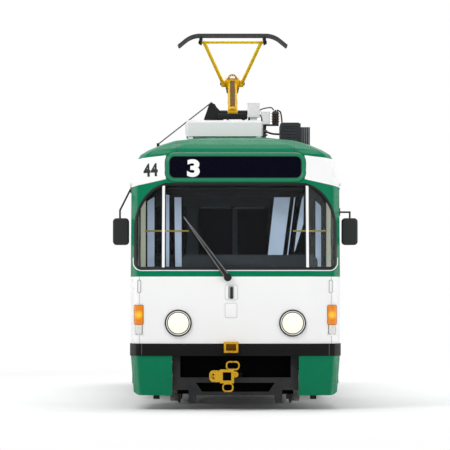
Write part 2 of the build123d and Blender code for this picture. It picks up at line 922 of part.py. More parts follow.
# Outside mirrors on their arms
mirror_y = -6360.0
mirror_depth = 80.0
mirror_outer_x = 1475.0
mirror_width = 195.0
mirror_bottom_z = 1966.0
mirror_top_z = 2291.0
mirror_arm_radius = 11.0
mirror_x = mirror_outer_x - mirror_width / 2
mirror_arm_y = mirror_y + mirror_depth / 2
with BuildPart() as mirrors:
    with BuildSketch(Plane.XZ.offset(-mirror_y - mirror_depth)):
        with Locations(
            (-mirror_x, (mirror_bottom_z + mirror_top_z) / 2),
            (mirror_x, (mirror_bottom_z + mirror_top_z) / 2),
        ):
            RectangleRounded(mirror_width, mirror_top_z - mirror_bottom_z, 45)
    extrude(amount=mirror_depth)
    fillet(mirrors.faces().sort_by(Axis.Y)[:2].edges(), 18)
    add(slab(-half_width - 14, -half_width, mirror_y, mirror_y + mirror_depth, 2590, 2670))
    add(rod((-half_width - 12, mirror_arm_y, 2640), (-1390, mirror_arm_y, 2385), mirror_arm_radius))
    add(rod((-1390, mirror_arm_y, 2390), (-1390, mirror_arm_y, 2280), mirror_arm_radius))
    add(slab(half_width, half_width + 14, mirror_y, mirror_y + mirror_depth, 2320, 2410))
    add(rod((half_width + 8, mirror_arm_y, 2363), (1390, mirror_arm_y, 2363), mirror_arm_radius))
    add(rod((1380, mirror_arm_y, 2368), (1380, mirror_arm_y, 2280), mirror_arm_radius))
mirrors.part.label = "mirrors"
export_step(mirrors.part, "parts/mirrors.step")

# Converter box on four feet, and two small boxes that stand on the pantograph's frame
converter_x = -131.0
converter_y = -4950.0
converter_width = 948.0
converter_length = 700.0
converter_bottom_z = 3330.0
converter_top_z = 3515.0
converter_foot_width = 60.0
converter_foot_length = 80.0
foot_inset_x = 24.0
foot_inset_y = 50.0
choke_low_x = 165.0
choke_high_x = 322.0
choke_bottom_z = 3650.0
choke_top_z = 3830.0
choke_length = 120.0
choke_neck_width = 90.0
fuse_low_x = 338.0
fuse_high_x = 453.0
fuse_top_z = 3719.0
frame_bar_y = panto_y - base_half_length + base_tube / 2
with BuildPart() as roof_box:
    with BuildSketch(Plane.XY.offset(converter_bottom_z)):
        with Locations((converter_x, converter_y)):
            RectangleRounded(converter_width, converter_length, 40)
    extrude(amount=converter_top_z - converter_bottom_z)
    fillet(roof_box.faces().sort_by(Axis.Z)[-1:].edges(), 20)
    for hand in (-1, 1):
        for end in (-1, 1):
            x = converter_x + hand * (converter_width / 2 - foot_inset_x - converter_foot_width / 2)
            y = converter_y + end * (converter_length / 2 - foot_inset_y)
            half_foot = converter_foot_length / 2
            low_x = x - converter_foot_width / 2
            high_x = x + converter_foot_width / 2
            add(slab(low_x, high_x, y - half_foot, y + half_foot, cantrail_z, converter_bottom_z + 1))
    add(skin, mode=Mode.SUBTRACT)
    neck_x = (choke_low_x + choke_high_x) / 2
    neck_low_x = neck_x - choke_neck_width / 2
    neck_high_x = neck_x + choke_neck_width / 2
    neck_low_y = frame_bar_y - base_tube / 2 + 5
    neck_high_y = frame_bar_y + base_tube / 2 - 5
    add(slab(neck_low_x, neck_high_x, neck_low_y, neck_high_y, base_top_z, choke_bottom_z + 1))
    with BuildSketch(Plane.XY.offset(choke_bottom_z)):
        with Locations((neck_x, frame_bar_y)):
            RectangleRounded(choke_high_x - choke_low_x, choke_length, 12)
    extrude(amount=choke_top_z - choke_bottom_z)
    with BuildSketch(Plane.XY.offset(base_top_z)):
        with Locations(((fuse_low_x + fuse_high_x) / 2, frame_bar_y)):
            RectangleRounded(fuse_high_x - fuse_low_x, base_tube + 30, 12)
    extrude(amount=fuse_top_z - base_top_z)
roof_box.part.label = "roof_box"
export_step(roof_box.part, "parts/roof_box.step")

# Resistor bank with its cooling fins
bank_low_x = 560.0
bank_high_x = 810.0
bank_start_y = -5400.0
bank_end_y = -4450.0
bank_top_z = 3485.0
fin_count = 14
fin_pitch = 64.0
fin_thickness = 22.0
fin_depth = 115.0
fin_top_z = 3440.0
with BuildPart() as resistor_box:
    add(slab(bank_low_x, bank_high_x, bank_start_y, bank_end_y, cantrail_z, bank_top_z))
    for index in range(fin_count):
        y = bank_start_y + 50 + fin_pitch * index
        add(slab(bank_high_x - 1, bank_high_x + fin_depth, y, y + fin_thickness, cantrail_z, fin_top_z))
    add(skin, mode=Mode.SUBTRACT)
resistor_box.part.label = "resistor_box"
export_step(resistor_box.part, "parts/resistor_box.step")

# Roof walkway rails on their sleepers
rail_x = 300.0
rail_width = 80.0
rail_height = 30.0
rail_start_y = -2500.0
rail_end_y = 5000.0
sleeper_length = 220.0
sleeper_width = 40.0
sleeper_height = 14.0
sleeper_pitch = 925.0
sleeper_count = 9
with BuildPart() as roof_rails:
    for hand in (-1, 1):
        low_x = hand * rail_x - rail_width / 2
        high_x = low_x + rail_width
        add(slab(low_x, high_x, rail_start_y, rail_end_y, roof_top_z, roof_top_z + rail_height))
        for index in range(sleeper_count):
            y = rail_start_y + 100 + sleeper_pitch * index
            low_x = hand * rail_x - sleeper_length / 2
            high_x = low_x + sleeper_length
            top_z = roof_top_z + sleeper_height
            add(slab(low_x, high_x, y - sleeper_width / 2, y + sleeper_width / 2, roof_top_z, top_z))
    add(skin, mode=Mode.SUBTRACT)
roof_rails.part.label = "roof_rails"
export_step(roof_rails.part, "parts/roof_rails.step")

# Pantograph base on four ribbed insulators, with the bearing stands of the lower arm,
# a surge arrester on its bracket, and the lowering gear with its pull rod to the cab
stand_x = 230.0
bearing_half = 30.0
insulator_core_radius = 38.0
shed_count = 4
shed_pitch = 52.0
shed_thickness = 20.0
arrester_x = 523.0
arrester_radius = 42.0
lever_top = (-301.0, panto_y - 100.0, 3866.0)
lever_foot = (panto_x - stand_x - 7.0, panto_y - 100.0, 3600.0)
lever_radius = 13.0
stay_foot = (0.0, panto_y - 25.0, base_top_z - 5.0)
stay_radius = 9.0
pull_end = (-938.0, -5950.0, 3200.0)
pull_radius = 8.0
bracket_width = 34.0
bracket_length = 60.0
with BuildPart() as pantograph_base:
    with BuildSketch(Plane.XY.offset(base_top_z - base_tube)):
        with Locations((panto_x, panto_y)):
            Rectangle(2 * base_half_width, 2 * base_half_length)
            Rectangle(
                2 * base_half_width - 2 * base_tube,
                2 * base_half_length - 2 * base_tube,
                mode=Mode.SUBTRACT,
            )
            Rectangle(2 * base_half_width, base_tube)
    extrude(amount=base_tube)
    for hand in (-1, 1):
        for end in (-1, 1):
            foot = (panto_x + hand * (base_half_width - 40), panto_y + end * (base_half_length - 40))
            foot_top = base_top_z - base_tube + 1
            add(rod((*foot, cantrail_z), (*foot, foot_top), insulator_core_radius))
            for shed in range(shed_count):
                shed_z = base_top_z - base_tube - 14 - shed_pitch * shed
                add(rod((*foot, shed_z - shed_thickness), (*foot, shed_z), insulator_radius))
        with BuildSketch(Plane.YZ.offset(panto_x + hand * stand_x - bearing_half)):
            with BuildLine():
                Polyline(
                    (panto_y - 160, base_top_z - base_tube / 2),
                    (panto_y + 160, base_top_z - base_tube / 2),
                    (panto_y + 55, panto_pivot_z + 30),
                    (panto_y - 55, panto_pivot_z + 30),
                    close=True,
                )
            make_face()
            with Locations((panto_y, panto_pivot_z)):
                Circle(arm_shaft_radius + 32)
                Circle(arm_shaft_radius + running_gap, mode=Mode.SUBTRACT)
        extrude(amount=2 * bearing_half)
    frame_edge_x = panto_x + base_half_width
    arrester_low_y = frame_bar_y - base_tube / 2
    arrester_high_y = frame_bar_y + base_tube / 2
    bracket_edge_x = arrester_x + arrester_radius
    bracket_low_z = base_top_z - 20
    add(slab(frame_edge_x - 1, bracket_edge_x, arrester_low_y, arrester_high_y, bracket_low_z, base_top_z))
    add(
        rod(
            (arrester_x, frame_bar_y, base_top_z - 10),
            (arrester_x, frame_bar_y, fuse_top_z),
            arrester_radius,
        )
    )
    add(rod(lever_foot, lever_top, lever_radius))
    add(rod(lever_top, stay_foot, stay_radius))
    add(rod(lever_top, pull_end, pull_radius))
    pull_x, pull_y, pull_z = pull_end
    add(
        slab(
            pull_x - bracket_width / 2,
            pull_x + bracket_width / 2,
            pull_y - bracket_length / 2,
            pull_y + bracket_length / 2,
            cantrail_z,
            pull_z + 12,
        )
    )
    add(skin, mode=Mode.SUBTRACT)
pantograph_base.part.label = "pantograph_base"
export_step(pantograph_base.part, "parts/pantograph_base.step")

# Pantograph arms at their rest angle
knuckle_y = panto_y + arm_length * cos(radians(arm_angle))
knuckle_z = panto_pivot_z + arm_length * sin(radians(arm_angle))
head_z = panto_pivot_z + 2 * arm_length * sin(radians(arm_angle))
knuckle = (panto_x, knuckle_y, knuckle_z)
shaft_half = stand_x + bearing_half
with BuildPart() as pantograph_lower_arm:
    add(rod((panto_x, panto_y, panto_pivot_z), knuckle, lower_arm_radius))
    add(
        rod(
            (panto_x - shaft_half, panto_y, panto_pivot_z),
            (panto_x + shaft_half, panto_y, panto_pivot_z),
            arm_shaft_radius,
        )
    )
    add(
        rod(
            (panto_x - knuckle_half_width, knuckle_y, knuckle_z),
            (panto_x + knuckle_half_width, knuckle_y, knuckle_z),
            knuckle_pin_radius,
        )
    )
    add(
        rod(
            (panto_x - knuckle_drum_half, knuckle_y, knuckle_z),
            (panto_x + knuckle_drum_half, knuckle_y, knuckle_z),
            knuckle_drum_radius,
        )
    )
pantograph_lower_arm.part.label = "pantograph_lower_arm"
export_step(pantograph_lower_arm.part, "parts/pantograph_lower_arm.step")

hub_width = 44.0
hub_x = 124.0
with BuildPart() as pantograph_upper_arm:
    for hand in (-1, 1):
        hub_start = panto_x + hand * (hub_x - hub_width / 2)
        hub_end = panto_x + hand * (hub_x + hub_width / 2)
        head_end = (panto_x + hand * (head_half_width - 60), panto_y, head_z)
        add(rod((panto_x + hand * hub_x, knuckle_y, knuckle_z), head_end, upper_arm_radius))
        hub_ends = (hub_start, knuckle_y, knuckle_z), (hub_end, knuckle_y, knuckle_z)
        add(rod(*hub_ends, knuckle_hub_radius))
    add(
        rod(
            (panto_x - head_half_width, panto_y, head_z),
            (panto_x + head_half_width, panto_y, head_z),
            head_shaft_radius,
        )
    )
    for hand in (-1, 1):
        bore_start = panto_x + hand * (hub_x - hub_width / 2 - 5)
        bore_end = panto_x + hand * (hub_x + hub_width / 2 + 5)
        bore_radius = knuckle_pin_radius + running_gap
        bore = rod((bore_start, knuckle_y, knuckle_z), (bore_end, knuckle_y, knuckle_z), bore_radius)
        add(bore, mode=Mode.SUBTRACT)
pantograph_upper_arm.part.label = "pantograph_upper_arm"
export_step(pantograph_upper_arm.part, "parts/pantograph_upper_arm.step")

# Collector head: two strips with down-turned horns on two hangers
pan_z_top = head_z + pan_rise
hanger_x = head_half_width - 18
with BuildPart() as pantograph_head:
    for side in (-1, 1):
        strip_y = panto_y + side * pan_spacing / 2
        with BuildSketch(Plane.XZ.offset(-strip_y - pan_width / 2)):
            with BuildLine():
                FilletPolyline(
                    (panto_x - pan_tip_half, pan_z_top - pan_tip_drop),
                    (panto_x - pan_flat_half, pan_z_top - pan_thickness / 2),
                    (panto_x + pan_flat_half, pan_z_top - pan_thickness / 2),
                    (panto_x + pan_tip_half, pan_z_top - pan_tip_drop),
                    radius=pan_bend_radius,
                )
            trace(line_width=pan_thickness)
        extrude(amount=pan_width)
    for hand in (-1, 1):
        hanger = panto_x + hand * hanger_x
        with BuildSketch(Plane.YZ.offset(hanger - 12)):
            with BuildLine():
                Polyline(
                    (panto_y - pan_spacing / 2, pan_z_top - pan_thickness + 4),
                    (panto_y - pan_spacing / 2, pan_z_top - pan_thickness - 30),
                    (panto_y - 40, head_z - 34),
                    (panto_y + 40, head_z - 34),
                    (panto_y + pan_spacing / 2, pan_z_top - pan_thickness - 30),
                    (panto_y + pan_spacing / 2, pan_z_top - pan_thickness + 4),
                    close=True,
                )
            make_face()
            with Locations((panto_y, head_z)):
                Circle(head_shaft_radius + running_gap, mode=Mode.SUBTRACT)
        extrude(amount=24)
pantograph_head.part.label = "pantograph_head"
export_step(pantograph_head.part, "parts/pantograph_head.step")

# Couplers: eye, shank and head with its guide frame and loops
# Loops: place aside and above the shank's middle, width
coupler_loops = [(27.0, 100.0, 163.0), (-30.0, -156.0, 131.0)]
loop_height = 107.0
loop_radius = 45.0
loop_bar = 17.0
bolt_aside = -202.0
bolt_lifts = [-6.0, -46.0]
coupler_bolt_radius = 12.0
coupler_recess = 45.0
with BuildPart() as coupler:
    with BuildSketch(Plane.XY.offset(coupler_z - coupler_shank / 2)):
        with Locations((coupler_x, -coupler_pivot_y)):
            Circle(coupler_eye_radius)
        mid_y = -(coupler_pivot_y + coupler_face_y - coupler_head_depth) / 2
        with Locations((coupler_x, mid_y)):
            Rectangle(coupler_shank, coupler_face_y - coupler_head_depth - coupler_pivot_y + 2)
        with Locations((coupler_x, -coupler_pivot_y)):
            Circle(coupler_pin_radius + running_gap, mode=Mode.SUBTRACT)
    extrude(amount=coupler_shank)
    with BuildSketch(Plane.XZ.offset(coupler_face_y - coupler_head_depth)):
        with Locations((coupler_x - 40, coupler_z - 26)):
            Rectangle(165, 162)
        with Locations((coupler_x - 170, coupler_z - 24)):
            RectangleRounded(159, 136, 50)
        for aside, lift, width in coupler_loops:
            with Locations((coupler_x + aside, coupler_z + lift)):
                RectangleRounded(width, loop_height, loop_radius)
                RectangleRounded(
                    width - 2 * loop_bar,
                    loop_height - 2 * loop_bar,
                    loop_radius - loop_bar,
                    mode=Mode.SUBTRACT,
                )
        with Locations((coupler_x + 60, coupler_z - 3)):
            Circle(34)
        for lift in bolt_lifts:
            with Locations((coupler_x + bolt_aside, coupler_z + lift)):
                Circle(coupler_bolt_radius, mode=Mode.SUBTRACT)
    extrude(amount=coupler_head_depth)
    with BuildSketch(Plane.XZ.offset(coupler_face_y)):
        with Locations((coupler_x - 40, coupler_z - 26)):
            Rectangle(100, 98)
    extrude(amount=-coupler_recess, mode=Mode.SUBTRACT)
for node, turn in (("coupler_front", 0), ("coupler_rear", 180)):
    with BuildPart() as placed:
        if turn:
            add(mirror(coupler.part, about=Plane.XZ))
        else:
            add(coupler.part)
    placed.part.label = node
    export_step(placed.part, f"parts/{node}.step")

# Bogie frame: two side frames, bolster, axle boxes, springs and guard irons
bogie_half_wheelbase = wheelbase / 2
with BuildPart() as bogie_frame:
    for hand in (-1, 1):
        low_x = hand * side_frame_x - side_frame_width / 2
        with BuildSketch(Plane.YZ.offset(low_x)):
            with BuildLine():
                FilletPolyline(
                    (-side_frame_half_length, 430),
                    (-side_frame_half_length, 560),
                    (-560, 560),
                    (-420, 480),
                    (420, 480),
                    (560, 560),
                    (side_frame_half_length, 560),
                    (side_frame_half_length, 430),
                    (600, 430),
                    (380, 290),
                    (-380, 290),
                    (-600, 430),
                    radius=40,
                    close=True,
                )
            make_face()
            for end in (-1, 1):
                with Locations((end * (side_frame_half_length - 35), 300)):
                    Rectangle(70, 330)
                with Locations((end * bogie_half_wheelbase, axle_z + 20)):
                    RectangleRounded(axle_box_size, axle_box_size, 30)
                with Locations((end * bogie_half_wheelbase, axle_z)):
                    Circle(journal_radius + running_gap, mode=Mode.SUBTRACT)
        extrude(amount=side_frame_width)
        for end in (-1, 1):
            block_y = end * (side_frame_half_length - 35)
            add(
                slab(
                    hand * 990 - 39,
                    hand * 990 + 39,
                    block_y - 45,
                    block_y + 45,
                    guard_bottom_z,
                    guard_bottom_z + 80,
                )
            )
        with BuildSketch(Plane.XY.offset(479)):
            with Locations((hand * side_frame_x, 0)):
                Circle(spring_radius)
        extrude(amount=frame_bottom_z - spring_top_gap - 479)
    add(
        slab(
            -side_frame_x,
            side_frame_x,
            -bogie_bolster_half_width,
            bogie_bolster_half_width,
            bogie_bolster_bottom_z,
            bogie_bolster_top_z,
        )
    )
    with BuildSketch(Plane.XY.offset(bogie_bolster_top_z - 1)):
        Circle(centre_plate_radius)
    extrude(amount=frame_bottom_z - fit_gap - bogie_bolster_top_z + 1)
    with BuildSketch(Plane.XY.offset(king_pin_bottom_z - king_pin_gap)):
        Circle(king_pin_radius + king_pin_gap)
    extrude(amount=400, mode=Mode.SUBTRACT)

with BuildPart() as motors:
    for end in (-1, 1):
        start = end * bogie_bolster_half_width
        stop = end * motor_end_y
        add(
            slab(
                -motor_half_width,
                motor_half_width,
                min(start, stop),
                max(start, stop),
                motor_bottom_z,
                motor_top_z,
            )
        )

with BuildPart() as track_brakes:
    for hand in (-1, 1):
        low_x = hand * brake_x - brake_width / 2
        add(
            slab(
                low_x,
                low_x + brake_width,
                -brake_half_length,
                brake_half_length,
                brake_bottom_z,
                brake_top_z,
            )
        )
        for end in (-1, 1):
            add(
                slab(
                    hand * brake_x - 20,
                    hand * brake_x + 20,
                    end * 150 - 20,
                    end * 150 + 20,
                    brake_top_z - 1,
                    bogie_bolster_bottom_z,
                )
            )

for node_end, bogie_y in (("front", bogie_ys[0]), ("rear", bogie_ys[1])):
    for node, source in (
        ("bogie_frame", bogie_frame),
        ("motors", motors),
        ("track_brakes", track_brakes),
    ):
        with BuildPart() as placed:
            add(Pos(0, bogie_y, 0) * source.part)
        placed.part.label = f"{node}_{node_end}"
        export_step(placed.part, f"parts/{node}_{node_end}.step")

# Wheelset: axle with journals and two turned wheels
wheel_inner_x = tread_centre_x - wheel_width / 2
wheel_outer_x = tread_centre_x + wheel_width / 2
with BuildPart() as wheelset:
    with BuildSketch(Plane.XY):
        with BuildLine():
            Polyline(
                (0, 0),
                (axle_half_length, 0),
                (axle_half_length, journal_radius),
                (side_frame_x - side_frame_width / 2 - 20, journal_radius),
                (side_frame_x - side_frame_width / 2 - 20, axle_radius),
                (wheel_outer_x + 20, axle_radius),
                (wheel_outer_x + 20, 115),
                (wheel_outer_x - 25, 125),
                (wheel_outer_x - 45, 270),
                (wheel_outer_x, 290),
                (wheel_outer_x, tread_radius - 6),
                (wheel_inner_x + flange_width + 14, tread_radius),
                (wheel_inner_x + flange_width, flange_radius - 10),
                (wheel_inner_x + 16, flange_radius),
                (wheel_inner_x + 6, flange_radius - 4),
                (wheel_inner_x, tread_radius),
                (wheel_inner_x, 290),
                (wheel_inner_x + 45, 270),
                (wheel_inner_x + 30, 125),
                (wheel_inner_x - 15, 115),
                (wheel_inner_x - 15, axle_radius),
                (0, axle_radius),
                close=True,
            )
        make_face()
    revolve(axis=Axis.X)
    mirror(about=Plane.YZ)
wheelset_ys = [
    centre + end * bogie_half_wheelbase for centre in bogie_ys for end in (-1, 1)
]
for index, wheelset_y in enumerate(wheelset_ys, 1):
    with BuildPart() as placed:
        add(Pos(0, wheelset_y, axle_z) * wheelset.part)
    placed.part.label = f"wheelset_{index}"
    export_step(placed.part, f"parts/wheelset_{index}.step")

# Folding doors, four glazed leaves in each doorway
leaf_width = (door_width - 2 * jamb_gap - 2 * leaf_gap - middle_gap) / 4
leaf_x = -half_width + leaf_recess
leaf_height = door_top_z - door_bottom_z
leaf_window_height = door_top_z - door_window_margin * 2 - door_window_bottom_z
with BuildPart() as leaf:
    with BuildSketch(Plane.YZ.offset(leaf_x)):
        with Locations((0, door_bottom_z + leaf_height / 2)):
            Rectangle(leaf_width, leaf_height)
        with Locations((0, door_window_bottom_z + leaf_window_height / 2)):
            RectangleRounded(
                leaf_width - 2 * door_window_margin, leaf_window_height, 30, mode=Mode.SUBTRACT
            )
    extrude(amount=leaf_thickness)
with BuildPart() as leaf_pane:
    with BuildSketch(Plane.YZ.offset(leaf_x + leaf_thickness / 2 - 4)):
        with Locations((0, door_window_bottom_z + leaf_window_height / 2)):
            RectangleRounded(
                leaf_width - 2 * door_window_margin - 2 * fit_gap,
                leaf_window_height - 2 * fit_gap,
                30 - fit_gap,
            )
    extrude(amount=8)
with BuildPart() as outer_leaf:
    outer_start = -doorway_half + jamb_gap
    outer_end = outer_start + leaf_width
    fold_y = outer_end + leaf_gap / 2
    add(Pos(0, outer_start + leaf_width / 2, 0) * leaf.part)
    pivot_x = leaf_x + leaf_thickness + pivot_offset
    for low in (first_step_z + fit_gap, cantrail_z - fit_gap - pivot_length):
        with BuildSketch(Plane.XY.offset(low)):
            with Locations((pivot_x, outer_start + pivot_inset)):
                Circle(pivot_radius)
        extrude(amount=pivot_length)
    fold_x = leaf_x - fold_offset
    fold_radius = (fold_offset**2 + (leaf_gap / 2) ** 2) ** 0.5 - running_gap
    for hinge_z in fold_hinge_zs:
        with BuildSketch(Plane.XY.offset(hinge_z - fold_hinge_length / 2)):
            with Locations((fold_x, fold_y)):
                Circle(fold_radius)
            with Locations((leaf_x - fold_plate / 2, fold_y - fold_plate_width / 2)):
                Rectangle(fold_plate, fold_plate_width)
        extrude(amount=fold_hinge_length)
    add(Pos(0, outer_start + leaf_width / 2, 0) * leaf_pane.part)

with BuildPart() as inner_leaf:
    inner_middle = outer_end + leaf_gap + leaf_width / 2
    add(Pos(0, inner_middle, 0) * leaf.part)
    add(Pos(0, inner_middle, 0) * leaf_pane.part)

for index, door_y in enumerate(door_centres, 1):
    for leaf_name, source in (("a1", outer_leaf), ("a2", inner_leaf)):
        with BuildPart() as placed:
            add(Pos(0, door_y, 0) * source.part)
        placed.part.label = f"door_{index}_{leaf_name}"
        export_step(placed.part, f"parts/door_{index}_{leaf_name}.step")
    for leaf_name, source in (("b1", outer_leaf), ("b2", inner_leaf)):
        with BuildPart() as placed:
            mirror(Pos(0, -door_y, 0) * source.part, about=Plane.XZ)
        placed.part.label = f"door_{index}_{leaf_name}"
        export_step(placed.part, f"parts/door_{index}_{leaf_name}.step")
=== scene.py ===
from functools import reduce
from math import cos, pi, radians, sin

import bmesh
import bpy
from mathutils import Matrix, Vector


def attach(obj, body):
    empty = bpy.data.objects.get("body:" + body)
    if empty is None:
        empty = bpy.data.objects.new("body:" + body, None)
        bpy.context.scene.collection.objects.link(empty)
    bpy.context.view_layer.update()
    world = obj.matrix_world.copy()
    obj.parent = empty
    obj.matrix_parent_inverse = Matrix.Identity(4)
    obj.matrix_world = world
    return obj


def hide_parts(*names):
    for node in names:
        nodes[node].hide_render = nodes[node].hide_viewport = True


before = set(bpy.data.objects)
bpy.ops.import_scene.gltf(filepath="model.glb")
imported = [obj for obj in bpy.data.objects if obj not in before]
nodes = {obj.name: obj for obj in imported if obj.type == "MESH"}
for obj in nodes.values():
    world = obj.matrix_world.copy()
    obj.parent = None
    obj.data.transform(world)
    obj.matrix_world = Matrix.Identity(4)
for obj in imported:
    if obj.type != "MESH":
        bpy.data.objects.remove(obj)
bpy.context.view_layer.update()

scene = bpy.context.scene
hull = "car_body"
both = (-1, 1)
hullHalf, hullFront = 1.25, 7.0   # the body's side and nose, from its middle
making = {}   # tree, shader and coordinates of the material in work
finish = {}   # finished materials by name


# helpers for material nodes
def newMaterial(name):
    mat = bpy.data.materials.new(name)
    mat.use_nodes = True
    making["tree"] = mat.node_tree
    making["shader"] = mat.node_tree.nodes["Principled BSDF"]
    making["coords"] = put("TexCoord").outputs["Object"]
    finish[name] = mat


def put(kind, **settings):
    node = making["tree"].nodes.new("ShaderNode" + kind)
    for key, value in settings.items():
        setattr(node, key, value)
    return node


def feed(socket, value):
    if isinstance(value, bpy.types.NodeSocket):
        making["tree"].links.new(value, socket)
    else:
        socket.default_value = (*value, 1) if isinstance(value, tuple) else value


def calc(what, *values):
    node = put("Math", operation=what)
    for socket, value in zip(node.inputs, values):
        feed(socket, value)
    return node.outputs[0]


def times(*values):
    return reduce(lambda a, b: calc("MULTIPLY", a, b), values)


def largest(*values):
    return reduce(lambda a, b: calc("MAXIMUM", a, b), values)


def over(value, limit):
    return calc("GREATER_THAN", value, limit)


def under(value, limit):
    return calc("LESS_THAN", value, limit)


def inRange(value, low, high):
    return times(over(value, low), under(value, high))


def farness(a, b):
    return calc("SQRT", calc("ADD", times(a, a), times(b, b)))


def axes(vector=None):
    split = put("SeparateXYZ")
    feed(split.inputs[0], vector or making["coords"])
    return split.outputs[:]


def noise(scale, detail, stretch=None, rough=0.55):
    coords = making["coords"]
    if stretch:
        move = put("Mapping")
        move.inputs["Scale"].default_value = stretch
        feed(move.inputs[0], coords)
        coords = move.outputs[0]
    node = put("TexNoise")
    for socket, value in (("Vector", coords), ("Scale", scale), ("Detail", detail), ("Roughness", rough)):
        feed(node.inputs[socket], value)
    return node.outputs["Fac"]


def spread(value, *limits):
    # limits are from low, from high, to low, to high
    node = put("MapRange")
    for socket, number in zip(node.inputs, (value, *limits)):
        feed(socket, number)
    return node.outputs[0]


def cloudy(scale, detail, low, high):
    return spread(noise(scale, detail), 0.3, 0.7, low, high)


def blend(factor, first, second):
    node = put("Mix", data_type="RGBA")
    for i, value in ((0, factor), (6, first), (7, second)):
        feed(node.inputs[i], value)
    return node.outputs[2]


def toned(colour, by):
    return tuple(min(1, c * by) for c in colour)


def mixShaders(factor, first, second, output):
    mix = put("MixShader")
    for socket, value in zip(mix.inputs, (factor, first, second)):
        feed(socket, value)
    feed(making["tree"].nodes[output].inputs["Surface"], mix.outputs[0])


def complete(shade, roughness, height, strength, distance, levels, glow=0.0):
    shader = making["shader"]
    bump = put("Bump")
    feed(bump.inputs["Strength"], strength)
    feed(bump.inputs["Distance"], distance)
    feed(bump.inputs["Height"], height)
    feed(shader.inputs["Base Color"], shade)
    feed(shader.inputs["Roughness"], roughness)
    feed(shader.inputs["Normal"], bump.outputs[0])
    for socket, value in levels.items():
        feed(shader.inputs[socket], value)
    if glow:
        feed(shader.inputs["Emission Color"], shade)
        feed(shader.inputs["Emission Strength"], glow)


# camera, lights and floor
cameraSetup = {
    "place": (-0.124, -47.0, 1.25),
    "target": (-0.124, -7.0, 2.192),
    "distance": 40,         # in front of the nose
    "frameWidth": 5.3325,   # metres across at the nose
    "sensor": 36,
    "clip": (0.5, 400),
}
lightSetup = {   # place, target, size, power, seen in reflections
    "key": ((-9, -17, 15), (0, -4, 2), 9, 1750, True),
    "fill": ((12, -18, 7), (0, -4, 2), 10, 850, True),
    "top": ((0, 2, 17), (0, 0, 3), 12, 1500, True),
    "back": ((5, 20, 12), (0, 6, 2), 9, 1500, False),
    "left": ((17, 2, 7), (0, 0, 1.5), 10, 1150, False),
    "right": ((-17, 2, 7), (0, 0, 1.5), 10, 1150, False),
}
worldLight = 0.36
floorSetup = {
    "corners": [(-60, -46, 0), (60, -46, 0), (60, 60, 0), (-60, 60, 0)],
    "tones": ((0.80, 0.81, 0.82), (0.84, 0.84, 0.84)),
    "fade": (3.0, 11.0),    # metres from the tram at which the floor turns into the background
}


def newObject(name, data):
    obj = bpy.data.objects.new(name, data)
    scene.collection.objects.link(obj)
    return obj


def aim(obj, place, target):
    obj.location = place
    obj.rotation_euler = (Vector(target) - Vector(place)).to_track_quat("-Z", "Y").to_euler()


def makeCamera():
    data = bpy.data.cameras.new("camera")
    data.sensor_width = cameraSetup["sensor"]
    data.lens = cameraSetup["sensor"] * cameraSetup["distance"] / cameraSetup["frameWidth"]
    data.clip_start, data.clip_end = cameraSetup["clip"]
    scene.camera = newObject("camera", data)
    aim(scene.camera, cameraSetup["place"], cameraSetup["target"])


def makeLights():
    for name, (place, target, size, power, mirrored) in lightSetup.items():
        data = bpy.data.lights.new(name + "Light", "AREA")
        data.shape = "SQUARE"
        data.size = size
        data.energy = power
        lamp = newObject(name + "Light", data)
        aim(lamp, place, target)
        lamp.visible_glossy = mirrored
    scene.world = bpy.data.worlds.new("studio")
    scene.world.use_nodes = True
    making["tree"] = scene.world.node_tree
    ground = making["tree"].nodes["Background"]
    seen = put("Background")
    for background, strength in ((ground, worldLight), (seen, 1)):
        feed(background.inputs["Color"], (1, 1, 1))
        feed(background.inputs["Strength"], strength)
    path = put("LightPath").outputs
    white = largest(path["Is Camera Ray"], path["Is Transmission Ray"], path["Is Glossy Ray"])
    mixShaders(white, ground.outputs[0], seen.outputs[0], "World Output")


def makeFloor():
    mesh = bpy.data.meshes.new("studioFloor")
    mesh.from_pydata(floorSetup["corners"], [], [(0, 1, 2, 3)])
    newMaterial("floorPale")
    shader = making["shader"]
    feed(shader.inputs["Roughness"], 0.85)
    feed(shader.inputs["Base Color"], blend(noise(0.6, 2), *floorSetup["tones"]))
    x, y, z = axes()
    reach = largest(calc("SUBTRACT", calc("ABSOLUTE", y), hullFront), 0.0)
    fade = spread(farness(x, reach), *floorSetup["fade"], 0.0, 1.0)
    white = put("Emission")
    feed(white.inputs["Strength"], 1.0)
    mixShaders(fade, shader.outputs[0], white.outputs[0], "Material Output")
    mesh.materials.append(finish["floorPale"])
    newObject("studioFloor", mesh)


scene.view_settings.view_transform = "Standard"
makeCamera()
makeLights()
makeFloor()
print("stage ready")


# kinds of finish
def paint(colour, rough=0.32, coat=0.12, tone=0.05, grime=0.0, peel=0.05, chips=0.0,
          chipColour=(0.16, 0.15, 0.14), shine=0.22):
    shade = blend(noise(2.2, 5), toned(colour, 1 - tone), toned(colour, 1 + tone))
    if grime:
        x, y, z = axes()
        dirty = times(spread(z, 0.1, 1.2, 1.0, 0.0), noise(3.0, 6, (6, 6, 0.8)), grime)
        shade = blend(dirty, shade, (0.11, 0.095, 0.08))
    if chips:
        worn = spread(put("NewGeometry").outputs["Pointiness"], 0.53, 0.60, 0.0, 1.0)
        speck = spread(noise(45, 6), 0.5, 0.62, 0.0, 1.0)
        shade = blend(times(worn, speck, chips), shade, chipColour)
    complete(shade, cloudy(9, 6, rough - 0.06, rough + 0.08), noise(190, 2), peel, 0.001,
             {"Specular IOR Level": shine, "Coat Weight": coat, "Coat Roughness": 0.08})


